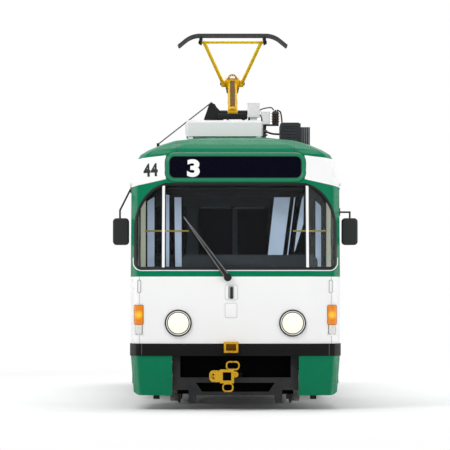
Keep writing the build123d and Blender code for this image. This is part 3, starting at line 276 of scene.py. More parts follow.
def castMetal(colour, rough=0.55, metal=0.6, grain=0.35, rust=0.0, dust=0.0):
    shade = blend(noise(7, 8), toned(colour, 0.72), toned(colour, 1.22))
    if rust:
        patch = spread(noise(3.3, 10, rough=0.7), 0.5, 0.68, 0.0, rust)
        shade = blend(patch, shade, (0.12, 0.06, 0.032))
    if dust:
        x, y, z = axes(put("NewGeometry").outputs["Normal"])
        top = times(spread(z, 0.2, 1.0, 0.0, dust), noise(12, 5))
        shade = blend(top, shade, (0.2, 0.18, 0.155))
    complete(shade, cloudy(22, 6, rough - 0.12, rough + 0.14), noise(120, 6), grain, 0.0015,
             {"Metallic": metal, "Specular IOR Level": 0.25})


def moulded(colour, rough=0.6, grain=0.2, scale=240, tone=0.12, coat=0.0, shine=0.18, glow=0.0):
    shade = blend(noise(5, 6), toned(colour, 1 - tone), toned(colour, 1 + tone))
    complete(shade, cloudy(30, 4, rough - 0.08, rough + 0.1), noise(scale, 3), grain, 0.0008,
             {"Specular IOR Level": shine, "Coat Weight": coat}, glow)


def clearGlass(colour):
    shade = blend(noise(4, 6), toned(colour, 0.97), colour)
    # The index is low, so that the inside stays in view.
    complete(shade, spread(noise(9, 7), 0.35, 0.75, 0.02, 0.07), noise(3, 2), 0.01, 0.001,
             {"Transmission Weight": 1.0, "Specular IOR Level": 0.12, "IOR": 1.16})


def ribbedLens(colour, across, ribs, glow=0.0, rough=0.12, bulb=None):
    parts = axes()
    wave = calc("SINE", times(parts[across], ribs * 2 * pi))
    cloud = noise(40, 3)
    shade = blend(cloud, toned(colour, 0.82), toned(colour, 1.12))
    # painted glow: a bright spot round the bulb's place, lighter than the lens
    if bulb:
        (paintedGlowX, paintedGlowZ), paintedGlowColour = bulb
        aside = calc("SUBTRACT", calc("ABSOLUTE", parts[0]), paintedGlowX)
        reach = farness(aside, calc("SUBTRACT", parts[2], paintedGlowZ))
        shade = blend(spread(reach, 0.008, 0.060, 1.0, 0.0), shade, paintedGlowColour)
    complete(shade, spread(cloud, 0.3, 0.7, rough, rough + 0.1), wave, 0.5, 0.0012,
             {"Specular IOR Level": 0.2, "Coat Weight": 0.25, "Coat Roughness": 0.03}, glow)


def fabric(first, second, threads=1040):
    x, y, z = axes()
    weave = times(calc("SINE", times(x, threads)), calc("SINE", times(calc("ADD", y, z), threads)))
    worn = noise(14, 5)
    shade = blend(spread(weave, -0.6, 0.6, 0.0, 1.0), first, second)
    shade = blend(spread(worn, 0.45, 0.75, 0.0, 0.35), shade, toned(second, 1.5))
    complete(shade, spread(worn, 0.3, 0.7, 0.78, 0.92), weave, 0.35, 0.0006,
             {"Sheen Weight": 0.25, "Specular IOR Level": 0.15})


# the body's outline: height, how far the side and the nose lie in
bodySections = [
    (0.170, 0.035, 0.130), (0.640, 0.0, 0.050), (1.600, 0.0, 0.0), (2.690, 0.0, 0.240), (2.840, 0.020, 0.273),
    (2.962, 0.056, 0.300), (3.050, 0.110, 0.325), (3.110, 0.205, 0.385), (3.173, 0.347, 0.480),
    (3.229, 0.513, 0.610), (3.271, 0.900, 0.950),
]
livery = {
    "green": (0.002, 0.178, 0.082),
    "white": (0.88, 0.88, 0.88),
    "black": (0.009, 0.009, 0.010),
    "inside": (0.40, 0.41, 0.40),
    "seam": (0.03, 0.035, 0.035),
    "band": (0.640, 0.786),
    "belt": 1.581,
    "wingBottom": (2.657, 0.088),   # at the side, and how much it rises over wingReach
    "wingTop": (2.991, 0.043),
    "wingReach": 0.42,
    "pillar": (0.838, 0.874),
    "pillarZ": (1.676, 2.686),
    "panelSeam": 1.142,
    "domeSeam": 0.705,
    "sidePanel": 1.45,
}


def bodyPaint(coat):
    x, y, z = axes()
    wide, along = calc("ABSOLUTE", x), calc("ABSOLUTE", y)
    reach = calc("DIVIDE", calc("SUBTRACT", hullHalf, wide), coat["wingReach"])
    bottom, top = [calc("MULTIPLY_ADD", reach, rise, start)
                   for start, rise in (coat["wingBottom"], coat["wingTop"])]
    wing = times(over(z, bottom), under(z, top), largest(over(wide, 0.83), under(along, 6.3)))
    cloud = noise(1.6, 5)
    green = blend(cloud, toned(coat["green"], 0.93), toned(coat["green"], 1.06))
    pale = blend(cloud, toned(coat["white"], 0.985), coat["white"])
    shade = blend(largest(wing, inRange(z, coat["band"][1], coat["belt"])), green, pale)
    shade = blend(inRange(z, *coat["band"]), shade, coat["black"])
    pillar = times(inRange(wide, *coat["pillar"]), inRange(z, *coat["pillarZ"]), over(along, 6.6))
    shade = blend(pillar, shade, coat["white"])
    # seams between the panels: front, dome, sides, end joints, cove
    sidePart = calc("FRACT", calc("DIVIDE", calc("ADD", y, 14.5), coat["sidePanel"]))
    seams = largest(
        times(calc("COMPARE", wide, coat["panelSeam"], 0.0028), inRange(z, 0.786, 1.64), over(along, 6.5)),
        times(calc("COMPARE", wide, coat["domeSeam"], 0.0035), over(z, 3.035), over(along, 6.0)),
        times(under(sidePart, 0.0032), inRange(z, 0.786, 1.581), under(along, 6.29)),
        times(calc("COMPARE", along, 6.3, 0.003), over(z, 0.7)),
        times(calc("COMPARE", z, 2.6, 0.003), under(along, 6.3)))
    shade = blend(times(seams, 0.62), shade, coat["seam"])
    # road dirt low down
    dirty = times(spread(z, 0.15, 1.5, 1.0, 0.0), noise(3.0, 7, (5, 5, 0.7)), 0.07)
    shade = blend(dirty, shade, (0.12, 0.10, 0.085))
    # above the band, inner faces get the lining's colour
    nx, ny, nz = axes(put("NewGeometry").outputs["True Normal"])
    past = times(largest(calc("SUBTRACT", along, 6.0), 0.0), calc("SIGN", y))
    facing = calc("ADD", times(nx, x), times(ny, past))
    facing = calc("ADD", facing, times(nz, largest(calc("SUBTRACT", z, 2.6), 0.0)))
    shade = blend(times(under(facing, -0.12), over(z, coat["band"][0])), shade, coat["inside"])
    rise = calc("ADD", times(noise(160, 2), 0.04), times(seams, -1.0))
    complete(shade, cloudy(7, 6, 0.22, 0.36), rise, 0.35, 0.002,
             {"Specular IOR Level": 0.035, "Coat Weight": 0.04, "Coat Roughness": 0.1, "Coat IOR": 1.25})


# each of the record's slots and the finishes that stand for it
finishSetup = {
    "green_paint": {
        "bodyPaint": (bodyPaint, livery),
        "greenPaint": (paint, livery["green"], {"grime": 0.25})},
    "white_paint": {
        "whitePaint": (paint, (0.87, 0.87, 0.87), {"rough": 0.3, "tone": 0.03}),
        "numeralWhite": (moulded, (0.86, 0.86, 0.86), {"rough": 0.4, "grain": 0.05, "tone": 0.03}),
        # painted light: the cream posts glow, though no lamp lights them
        "creamPanelPaintedGlow": (moulded, (0.80, 0.78, 0.62),
                       {"rough": 0.5, "grain": 0.1, "tone": 0.05, "glow": 0.30})},
    "black_paint": {
        "blackPaint": (paint, (0.008, 0.008, 0.009),
                       {"rough": 0.42, "coat": 0.05, "tone": 0.2, "peel": 0.12}),
        "numeralBlack": (moulded, (0.012, 0.012, 0.014), {"rough": 0.4, "grain": 0.05}),
        "springBlack": (paint, (0.022, 0.023, 0.025),
                        {"rough": 0.4, "coat": 0.1, "tone": 0.2, "chips": 0.3})},
    "grey_steel": {
        "frameSteel": (castMetal, (0.020, 0.021, 0.023),
                       {"rough": 0.6, "metal": 0.2, "rust": 0.12, "dust": 0.35}),
        "bogieSteel": (castMetal, (0.018, 0.017, 0.017),
                       {"rough": 0.62, "metal": 0.2, "rust": 0.2, "dust": 0.4}),
        "chrome": (castMetal, (0.72, 0.73, 0.74), {"rough": 0.16, "metal": 1.0, "grain": 0.03}),
        "resistorDark": (castMetal, (0.035, 0.037, 0.042), {"rough": 0.5, "metal": 0.5, "dust": 0.25}),
        "galvanised": (castMetal, (0.40, 0.41, 0.42), {"rough": 0.45, "metal": 0.8, "grain": 0.15}),
        "finPale": (castMetal, (0.20, 0.205, 0.21), {"rough": 0.45, "metal": 0.5, "grain": 0.2}),
        "springSteel": (castMetal, (0.10, 0.10, 0.11), {"rough": 0.4, "metal": 0.8, "grain": 0.1}),
        "frameAlloy": (castMetal, (0.30, 0.31, 0.32), {"rough": 0.35, "metal": 0.9, "grain": 0.05}),
        "kickSteel": (castMetal, (0.11, 0.112, 0.115),
                      {"rough": 0.5, "metal": 0.7, "grain": 0.1, "dust": 0.1})},
    "roof_white": {
        "roofWhite": (paint, (0.85, 0.83, 0.845), {"rough": 0.4, "coat": 0.2}),
        "lampCover": (ribbedLens, (0.92, 0.92, 0.90), {"across": 1, "ribs": 40, "glow": 0.8, "rough": 0.4})},
    "yellow_paint": {
        "couplerYellow": (paint, (0.70, 0.385, 0.003),
                          {"rough": 0.48, "coat": 0.02, "tone": 0.16, "grime": 0.55,
                           "chips": 0.5, "chipColour": (0.10, 0.06, 0.02), "shine": 0.1}),
        "pantographYellow": (paint, (0.70, 0.40, 0.004),
                             {"rough": 0.45, "coat": 0.03, "tone": 0.1, "chips": 0.4,
                              "shine": 0.1}),
        # painted light: the same yellow made brighter for the upper arm, as if lit more than the lower arm
        "upperArmLitYellow": (paint, (0.92, 0.58, 0.006), {"rough": 0.45, "coat": 0.02, "tone": 0.08, "chips": 0.3,
                                                     "shine": 0.08}),
        # painted shade: a dark brown copy of the arm yellow, for the arm's channel and the hood bolts
        "armShadeBrown": (paint, (0.115, 0.058, 0.0015), {"rough": 0.55, "coat": 0.0, "tone": 0.2, "chips": 0.3,
                                                     "shine": 0.05}),
        # painted shade: a darker copy of the coupler yellow for inside the tow pockets
        "pocketShadeAmber": (paint, (0.42, 0.19, 0.002), {"rough": 0.5, "coat": 0.02, "tone": 0.2, "chips": 0.6,
                                                     "shine": 0.1})},
    "wheel_steel": {
        "wheelSteel": (castMetal, (0.10, 0.095, 0.09),
                       {"rough": 0.5, "metal": 0.75, "rust": 0.3, "dust": 0.25}),
        "treadSteel": (castMetal, (0.36, 0.355, 0.35), {"rough": 0.28, "metal": 0.95, "grain": 0.05})},
    "tinted_glass": {
        "screenGlass": (clearGlass, (0.80, 0.86, 0.86)),
        "sideGlass": (clearGlass, (0.62, 0.69, 0.70)),
        "mirrorGlass": (castMetal, (0.80, 0.82, 0.83), {"rough": 0.03, "metal": 1.0, "grain": 0.0}),
        "smokedPane": (moulded, (0.004, 0.005, 0.010), {"grain": 0.01, "shine": 0.05}),
        # painted shade: flat near-black panes for the dark seen through the cab door
        "cabPaneShadeBlack": (moulded, (0.0004, 0.0004, 0.0036), {"rough": 0.7, "grain": 0.01, "shine": 0.03}),
        # painted reflection: pale blue streaks that glow, for sky seen in the windscreen
        "paintedReflectionBlue": (moulded, (0.62, 0.70, 0.92),
                       {"rough": 0.3, "grain": 0.02, "tone": 0.16, "glow": 0.16})},
    "display_face": {
        "displayFace": (moulded, (0.0006, 0.0006, 0.006), {"rough": 0.28, "grain": 0.02, "shine": 0.04})},
    "headlamp_glass": {
        "headlampLens": (ribbedLens, (0.93, 0.88, 0.70),
                         {"across": 0, "ribs": 60, "glow": 0.35, "rough": 0.2})},
    # the orange lenses get a painted glow spot in the middle
    "orange_lens": {"orangeLens": (ribbedLens, (0.76, 0.215, 0.0), {
        "across": 2, "ribs": 70, "glow": 0.10, "bulb": ((1.150, 1.127), (1.0, 0.60, 0.03))})},
    "white_lens": {"whiteLens": (ribbedLens, (0.74, 0.73, 0.70), {"across": 2, "ribs": 70})},
    "red_lens": {"redLens": (ribbedLens, (0.42, 0.008, 0.006), {"across": 2, "ribs": 70})},
    "black_plastic": {
        "bumperRubber": (moulded, (0.007, 0.007, 0.0074),
                         {"rough": 0.5, "grain": 0.25, "scale": 160, "shine": 0.08}),
        "gasketRubber": (moulded, (0.010, 0.010, 0.011), {"rough": 0.55, "grain": 0.15}),
        # grey for the plate seals, and a painted sheen on the bumper corners
        "greySealsAndCornerSheen": (moulded, (0.085, 0.085, 0.085), {"rough": 0.45, "grain": 0.15}),
        "mirrorBlack": (moulded, (0.016, 0.018, 0.018), {"rough": 0.42, "coat": 0.2}),
        # painted shade: near-black for boards and plates placed where only shade falls
        "paintedShadeBlack": (moulded, (0.0022, 0.0022, 0.0024), {"rough": 0.9, "shine": 0.03}),
        "insulatorBrown": (moulded, (0.055, 0.020, 0.010), {"rough": 0.25, "grain": 0.05, "coat": 0.3})},
    "cab_grey": {
        "cabGrey": (moulded, (0.040, 0.045, 0.055), {"grain": 0.3}),
        "wallGrey": (moulded, (0.026, 0.030, 0.036)),
        "ceilingBlack": (moulded, (0.004, 0.004, 0.005), {"rough": 0.7})},
    "floor_rubber": {"floorRubber": (moulded, (0.035, 0.036, 0.038),
                                     {"rough": 0.75, "grain": 0.5, "scale": 90})},
    "seat_shell": {
        "seatShell": (moulded, (0.035, 0.085, 0.19), {"rough": 0.35, "grain": 0.12, "coat": 0.3}),
        "seatFabric": (fabric, (0.018, 0.060, 0.180), {"second": (0.035, 0.11, 0.30)}),
        "driverFabric": (fabric, (0.020, 0.021, 0.024), {"second": (0.042, 0.044, 0.050)})},
    "pole_yellow": {"poleYellow": (paint, (0.72, 0.52, 0.09), {"rough": 0.3, "coat": 0.5, "tone": 0.06})},
    "collector_grey": {
        "collectorGrey": (castMetal, (0.045, 0.046, 0.048), {"rough": 0.45, "metal": 0.5, "grain": 0.2}),
        "carbon": (castMetal, (0.018, 0.018, 0.020), {"metal": 0.1, "grain": 0.3})},
}
for slot, rows in finishSetup.items():
    for name, (kind, colour, *settings) in rows.items():
        newMaterial(name)
        kind(colour, **(settings[0] if settings else {}))
print("finishes ready")


# helpers for shapes
skinSetup = {"weld": 0.00003, "sharp": 30, "weight": 80}   # metres, degrees, the modifier's weight
figures = {"spacing": 1.12, "steps": 8, "cuts": 2}


def dress(obj, mat):
    obj.data.materials.clear()
    obj.data.materials.append(finish[mat])


def placed(obj, mat, body, replaced):
    dress(obj, mat)
    if replaced:
        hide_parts(*replaced)
    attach(obj, body)
    return obj


def skin(name, source, mat, body=hull, kept=None):
    # a node's own mesh with even normals, as a piece that stands for it
    mesh = nodes[source].data.copy()
    bm = bmesh.new()
    bm.from_mesh(mesh)
    bmesh.ops.remove_doubles(bm, verts=bm.verts, dist=skinSetup["weld"])
    if kept:
        bmesh.ops.delete(bm, geom=[v for v in bm.verts if not kept(v.co)], context="VERTS")
    bm.to_mesh(mesh)
    bm.free()
    if "custom_normal" in mesh.attributes:
        mesh.attributes.remove(mesh.attributes["custom_normal"])
    mesh.shade_smooth()
    mesh.set_sharp_from_angle(angle=radians(skinSetup["sharp"]))
    obj = newObject(name, mesh)
    even = obj.modifiers.new("evenNormals", "WEIGHTED_NORMAL")
    even.keep_sharp = True
    even.weight = skinSetup["weight"]
    return placed(obj, mat, body, (source,))


def piece(name, bm, mat, body=hull, smooth=35, replaced=()):
    mesh = bpy.data.meshes.new(name)
    bmesh.ops.recalc_face_normals(bm, faces=bm.faces)
    bm.to_mesh(mesh)
    bm.free()
    mesh.shade_smooth()
    mesh.set_sharp_from_angle(angle=radians(smooth))
    return placed(newObject(name, mesh), mat, body, replaced)


def joinRings(bm, rings, closed=True, capped=False):
    # faces between rings of points; a ring of one point is a tip
    for a, b in zip(rings, rings[1:]):
        count = max(len(a), len(b))
        for i in range(count if closed else count - 1):
            j = (i + 1) % count
            if len(a) == 1:
                bm.faces.new((a[0], b[i], b[j]))
            elif len(b) == 1:
                bm.faces.new((a[i], b[0], a[j]))
            else:
                bm.faces.new((a[i], b[i], b[j], a[j]))
    if capped:
        bm.faces.new(rings[0])
        bm.faces.new(list(reversed(rings[-1])))


def addBox(bm, low, high, bevel=0.003, segments=2):
    # the two corners may come in either order
    low, high = Vector(map(min, low, high)), Vector(map(max, low, high))
    made = bmesh.ops.create_cube(bm, size=1)["verts"]
    centre, size = (low + high) / 2, high - low
    for v in made:
        v.co = Vector([centre[i] + v.co[i] * size[i] for i in range(3)])
    bmesh.ops.bevel(bm, geom=list({e for v in made for e in v.link_edges}),
                    offset=min(bevel, min(size) * 0.45),
                    segments=segments, profile=0.6, affect="EDGES")


def addBlock(bm, centre, half, bevel, segments=2):
    addBox(bm, [c - h for c, h in zip(centre, half)], [c + h for c, h in zip(centre, half)], bevel, segments)


def addTurned(bm, profile, centre, axis, steps):
    # profile holds (radius, distance along the axis)
    turn = Vector(axis).normalized().to_track_quat("Z", "Y").to_matrix()
    centre = Vector(centre)
    rings = []
    for radius, along in profile:
        count = 1 if radius < 1e-6 else steps
        rings.append([bm.verts.new(centre + turn @ Vector((radius * cos(2 * pi * i / steps),
                                                           radius * sin(2 * pi * i / steps), along)))
                      for i in range(count)])
    joinRings(bm, rings)


def addRod(bm, start, end, radius, steps):
    start, end = Vector(start), Vector(end)
    length = (end - start).length
    edge = min(radius * 0.25, length * 0.2)
    addTurned(bm, [(0, 0), (radius - edge, 0), (radius, edge), (radius, length - edge),
                   (radius - edge, length),
                   (0, length)], start, end - start, steps)


def addPipe(bm, points, radius, steps):
    points = [Vector(p) for p in points]
    rings = []
    side = None
    for i, p in enumerate(points):
        ahead = (points[min(i + 1, len(points) - 1)] - points[max(i - 1, 0)]).normalized()
        side = side or ahead.orthogonal().normalized()
        side = (side - ahead * side.dot(ahead)).normalized()
        up = ahead.cross(side)
        rings.append([bm.verts.new(p + (side * cos(2 * pi * k / steps)
                                        + up * sin(2 * pi * k / steps)) * radius)
                      for k in range(steps)])
    joinRings(bm, rings, capped=True)


def addCurve(bm, points, radius, steps, gap=0.03):
    # a pipe on a smooth line through the points
    points = [Vector(p) for p in points]
    line = []
    for i, (b, c) in enumerate(zip(points, points[1:])):
        a = points[max(i - 1, 0)]
        d = points[min(i + 2, len(points) - 1)]
        count = max(2, int((c - b).length / gap))
        for t in [k / count for k in range(count)]:
            line.append(0.5 * ((2 * b) + (c - a) * t + (2 * a - 5 * b + 4 * c - d) * t * t
                               + (3 * b - a - 3 * c + d) * t ** 3))
    addPipe(bm, line + [points[-1]], radius, steps)


def addBolt(bm, place, axis, radius, height):
    # washer and six-sided head
    addTurned(bm, [(radius * 1.5, 0), (radius * 1.5, 0.002), (radius * 1.05, 0.002)], place, axis, 16)
    addTurned(bm, [(radius, 0.002), (radius, height * 0.8), (radius * 0.8, height), (0, height)],
              place, axis, 6)


def addSlab(bm, outline, y, thick):
    # a flat plate from its outline in x and z
    front, back = [[bm.verts.new((x, level, z)) for x, z in outline] for level in (y, y + thick)]
    bm.faces.new(front)
    bm.faces.new(list(reversed(back)))
    for corners in zip(front, front[1:] + front[:1], back[1:] + back[:1], back):
        bm.faces.new(corners)


def roundedPath(corners, radii, steps, gap):
    # a closed line with round corners, its points at most about a gap apart
    path = []
    for i, r in enumerate(radii):
        p = Vector(corners[i])
        toA = (Vector(corners[i - 1]) - p).normalized()
        toB = (Vector(corners[(i + 1) % len(corners)]) - p).normalized()
        half = toA.angle(toB) / 2
        centre = p + (toA + toB).normalized() * (r / sin(half))
        start = p + toA * (r * cos(half) / sin(half)) - centre
        turn = -1 if (toA.x * toB.y - toA.y * toB.x) > 0 else 1
        for k in range(steps + 1):
            a = turn * (pi - 2 * half) * k / steps
            path.append(centre + Vector((start.x * cos(a) - start.y * sin(a),
                                         start.x * sin(a) + start.y * cos(a))))
    full = []
    for p, q in zip(path, path[1:] + path[:1]):
        count = max(1, int((q - p).length / gap))
        full += [p.lerp(q, k / count) for k in range(count)]
    return full


def grown(path, distance):
    # the same line moved outward
    area = sum(path[i - 1].x * p.y - p.x * path[i - 1].y for i, p in enumerate(path))
    sign = 1 if area > 0 else -1
    result = []
    for i, p in enumerate(path):
        before = (p - path[i - 1]).normalized()
        after = (path[(i + 1) % len(path)] - p).normalized()
        n1, n2 = Vector((before.y, -before.x)), Vector((after.y, -after.x))
        result.append(p + (n1 + n2) * (sign * distance / max(0.4, 1 + n1.dot(n2))))
    return result


def addBand(bm, place, path, section, lid=False):
    # section holds (distance outward from the path, height over the skin)
    rings = [[bm.verts.new(place(p.x, p.y, lift)) for p in grown(path, out)] for out, lift in section]
    joinRings(bm, rings)
    if lid:
        bm.faces.new(rings[-1])


def addPad(bm, place, box, radius, section, steps=4, gap=0.3, lid=True):
    # a band round a box with round corners, closed on top unless lid is off
    u0, u1, v0, v1 = box
    addBand(bm, place, roundedPath([(u0, v0), (u1, v0), (u1, v1), (u0, v1)], [radius] * 4, steps, gap),
            section, lid)


def pads(name, mat, place, boxes, radius, section, steps, gap, lid=True):
    bm = bmesh.new()
    for box in boxes:
        addPad(bm, place, box, radius, section, steps, gap, lid)
    piece(name, bm, mat)


def turned(name, mat, spots, profile, axis, steps, body=hull, replaced=()):
    # the same turned shape at each spot; with no axis it points away from the middle in x
    bm = bmesh.new()
    for spot in spots:
        addTurned(bm, profile, spot, axis or (spot[0], 0, 0), steps)
    piece(name, bm, mat, body, replaced=replaced)


def outlineAt(z):
    # the body's outline at a height, from the middle of the nose to the side
    z = min(max(z, bodySections[0][0]), bodySections[-1][0])
    low, high = next(pair for pair in zip(bodySections, bodySections[1:]) if z <= pair[1][0])
    k = (z - low[0]) / (high[0] - low[0])
    half = hullHalf - (low[1] + k * (high[1] - low[1]))
    front = hullFront - (low[2] + k * (high[2] - low[2]))
    share = half / hullHalf
    corners = [Vector((0, front)), Vector((0.688 * half, front)),
               Vector((0.932 * half, front - 0.12 * share)),
               Vector((half, front - 0.34 * share))]
    line = [corners[0]]
    for a, b, c in zip(corners, corners[1:], corners[2:]):
        one, two = (b - a).normalized(), (c - b).normalized()
        reach = 0.09 * share * sin(one.angle(two) / 2) / cos(one.angle(two) / 2)
        for t in (0, 0.25, 0.5, 0.75, 1):
            line.append((b - one * reach).lerp(b, t).lerp(b.lerp(b + two * reach, t), t))
    return line + [corners[3]]


def noseY(x, z):
    line = outlineAt(z)
    x = min(abs(x), line[-1].x)
    for a, b in zip(line, line[1:]):
        if x <= b.x:
            return a.y + (b.y - a.y) * (x - a.x) / max(1e-9, b.x - a.x)
    return line[-1].y


def onFront(x, z, lift=0.0):
    return Vector((x, -noseY(x, z) - lift, z))


def onRear(x, z, lift=0.0):
    return Vector((x, noseY(x, z) + lift, z))


def onLeft(y, z, lift=0.0):
    return Vector((hullHalf + lift, y, z))


def onRight(y, z, lift=0.0):
    return Vector((-hullHalf - lift, y, z))


def lettering(name, words, place, centre, height, mat, width, bold, tilt=0, lift=0.0015):
    # figures laid on the skin, cut fine enough to follow it
    data = bpy.data.curves.new(name + "Curve", "FONT")
    data.body = words
    data.align_x = "CENTER"
    data.offset = bold
    data.space_character, data.resolution_u = figures["spacing"], figures["steps"]
    text = newObject(name + "Curve", data)
    bpy.context.view_layer.update()
    mesh = bpy.data.meshes.new_from_object(text.evaluated_get(bpy.context.evaluated_depsgraph_get()))
    bpy.data.objects.remove(text)
    bm = bmesh.new()
    bm.from_mesh(mesh)
    bmesh.ops.triangulate(bm, faces=bm.faces)
    bmesh.ops.subdivide_edges(bm, edges=bm.edges, cuts=figures["cuts"], use_grid_fill=False)
    top = max(v.co.y for v in bm.verts)
    low = min(v.co.y for v in bm.verts)
    scale = height / (top - low)
    c, s = cos(radians(tilt)), sin(radians(tilt))
    for v in bm.verts:
        u, w = v.co.x * scale * width, (v.co.y - (top + low) / 2) * scale
        v.co = place(centre[0] + u * c - w * s, centre[1] + u * s + w * c, lift)
    piece(name, bm, mat)


# nodes that keep their mesh, and skins for the rest
dressing = {
    "bodyPaint": ("side_left", "side_right"),
    "greenPaint": ("side_skirts",),
    "screenGlass": ("windscreens",),
    "sideGlass": ("side_windows",),
    "displayFace": ("destination_display",),
    "orangeLens": ("indicators",),
    "whiteLens": ("marker_lamps",),
    "redLens": ("tail_lamps",),
    "couplerYellow": ("tow_pockets", "coupler_front", "coupler_rear"),
    "frameSteel": ("lifeguards", "underframe"),
    "floorRubber": ("floor", "door_steps"),
    "wallGrey": ("cab_partition",),
    "cabGrey": ("dashboard",),
    "seatShell": ("driver_seat", "passenger_seats"),
    "poleYellow": ("handrails",),
    "blackPaint": ("wiper", "pantograph_base", "motors_front", "motors_rear"),
    "mirrorBlack": ("mirrors",),
    "roofWhite": ("roof_box",),
    "resistorDark": ("resistor_box",),
    "galvanised": ("roof_rails",),
    "pantographYellow": ("pantograph_lower_arm",),
    # the upper arm gets the brighter copy of the yellow: painted light
    "upperArmLitYellow": ("pantograph_upper_arm",),
    "collectorGrey": ("pantograph_head",),
    "bogieSteel": ("bogie_frame_front", "bogie_frame_rear", "track_brakes_front", "track_brakes_rear"),
    "wheelSteel": ("wheelset_1", "wheelset_2", "wheelset_3", "wheelset_4"),
}
skins = {"front_shell": "frontShell", "rear_shell": "rearShell", "roof": "roofSkin",
         "front_apron": "frontApron",
         "rear_apron": "rearApron", "corner_skirts": "cornerSkirts"}
doorGlass = {"x": -1.221, "half": 0.0065, "z": (1.29, 2.49)}


def inDoorGlass(v):
    return doorGlass["z"][0] < v.z < doorGlass["z"][1] and abs(v.x - doorGlass["x"]) < doorGlass["half"]


for source, name in skins.items():
    skin(name, source, "bodyPaint")
skin("bumperBars", "bumpers", "bumperRubber")
for mat, named in dressing.items():
    for node in named:
        slots = nodes[node].data.materials
        for i in range(len(slots)):
            slots[i] = finish[mat]
for leaf in [f"{d}{leaf}" for d in (1, 2, 3) for leaf in ("a1", "a2", "b1", "b2")]:
    source, rides = f"door_{leaf[0]}_{leaf[1:]}", f"leaf_{leaf[0]}_{leaf[1:]}"
    skin("doorLeaf" + leaf, source, "bodyPaint", rides, kept=lambda v: not inDoorGlass(v))
    skin("doorPane" + leaf, source, "sideGlass", rides, kept=inDoorGlass)
print("skins and nodes dressed")

# windscreen surround, both ends; the white strip on the rubber's lower and left edges is a painted highlight
screenTrim = {
    "corners": [(-1.197, 1.676), (1.197, 1.676), (1.197, 2.350), (1.010, 2.620), (0.845, 2.686),
                (-0.845, 2.686),
                (-1.010, 2.620), (-1.197, 2.350)],
    "radii": [0.08, 0.08, 0.56, 0.44, 0.05, 0.05, 0.44, 0.56],
    "rubber": [(-0.022, -0.013), (-0.022, -0.004), (-0.006, 0.009), (0.006, 0.009), (0.016, -0.002)],
    "paintedHighlightStrip": [(0.017, -0.002), (0.018, 0.005), (0.027, 0.005), (0.029, -0.002)],
    "paintedHighlightBelow": 1.86,
}
screenPath = roundedPath(screenTrim["corners"], screenTrim["radii"], 8, 0.05)
low = [p for p in screenPath if p.y < screenTrim["paintedHighlightBelow"]]
left = sorted([p for p in low if p.x < -1.19 and p.y > 1.76], key=lambda p: -p.y)
paintedHighlightLine = left + [p for p in low if p not in left]
for name, place in (("front", onFront), ("rear", onRear)):
    bm = bmesh.new()
    addBand(bm, place, screenPath, screenTrim["rubber"])
    piece(name + "ScreenRubber", bm, "gasketRubber")
    # white strip along the lower and left rubber: painted highlight
    bm = bmesh.new()
    rings = []
    for i, p in enumerate(paintedHighlightLine):
        along = (paintedHighlightLine[min(i + 1, len(paintedHighlightLine) - 1)] - paintedHighlightLine[max(i - 1, 0)]).normalized()
        spots = [(p + Vector((along.y, -along.x)) * d, lift) for d, lift in screenTrim["paintedHighlightStrip"]]
        rings.append([bm.verts.new(place(q.x, q.y, lift)) for q, lift in spots])
    joinRings(bm, rings, closed=False)
    piece(name + "ScreenPaintedHighlight", bm, "whitePaint")

# destination display at the driving end
display = {"box": (-0.790, 0.790, 2.759, 3.021), "radius": 0.069, "ring": 0.047}
ring = display["ring"]
displaySections = {
    ("displayRing", "greenPaint"): [[(0.0, -0.012), (0.001, 0.005), (0.008, 0.010), (ring - 0.008, 0.010),
                                     (ring, 0.003), (ring, -0.004)]],
    ("displaySeal", "gasketRubber"): [[(ring - 0.001, -0.003), (ring + 0.001, 0.002), (ring + 0.007, 0.0015),
                                       (ring + 0.009, -0.003)],
                                      [(-0.010, -0.012), (-0.009, -0.002), (0.0, 0.006), (0.002, 0.004)]],
}
for (name, mat), sections in displaySections.items():
    bm = bmesh.new()
    for section in sections:
        addPad(bm, onFront, display["box"], display["radius"], section, 8, 0.04, lid=False)
    piece(name, bm, mat)
lettering("routeNumber", "3", onFront, (-0.4995, 2.8785), 0.214, "numeralWhite", width=1.24, bold=0.045,
          lift=-0.0085)
lettering("carNumber", "44", onFront, (-1.013, 2.858), 0.160, "numeralBlack", width=0.76, bold=0.040, tilt=3)

# headlamps
headlamp = {"spots": [(side * 0.678, -6.970, 1.030) for side in both], "steps": 48}
headlampRings = {
    "headlampRubber": ("gasketRubber", [(0.160, -0.04), (0.160, 0.016), (0.157, 0.023), (0.151, 0.024),
                                        (0.148, 0.018), (0.148, -0.02)]),
    "headlampChrome": ("chrome", [(0.1485, 0.0), (0.1475, 0.020), (0.144, 0.0255), (0.139, 0.0265),
                                  (0.134, 0.022),
                                  (0.131, 0.012), (0.131, -0.02)]),
    "headlampSeal": ("gasketRubber", [(0.1305, -0.01), (0.1305, 0.013), (0.127, 0.016), (0.1235, 0.013),
                                      (0.1235, -0.01)]),
    "headlampLens": ("headlampLens", [(0.1235, -0.03), (0.1235, 0.012), (0.112, 0.019), (0.088, 0.0255),
                                      (0.055, 0.0295), (0.025, 0.0315), (0.0, 0.032)]),
}
for name, (mat, profile) in headlampRings.items():
    turned(name, mat, headlamp["spots"], profile, (0, -1, 0), headlamp["steps"],
           replaced=("headlamps",) if name == "headlampRubber" else ())

# indicators and marker lamps sit on pale plates
lampPlate = {"box": (1.077, 1.213, 0.880, 1.252), "lift": 0.004,
             "rims": [(1.098, 1.206, 1.012, 1.242), (1.111, 1.193, 0.900, 1.007)]}


def mirrored(boxes):
    # the boxes on the photo's left first, then on its right
    return [(*sorted((side * u0, side * u1)), v0, v1) for side in both for u0, u1, v0, v1 in boxes]


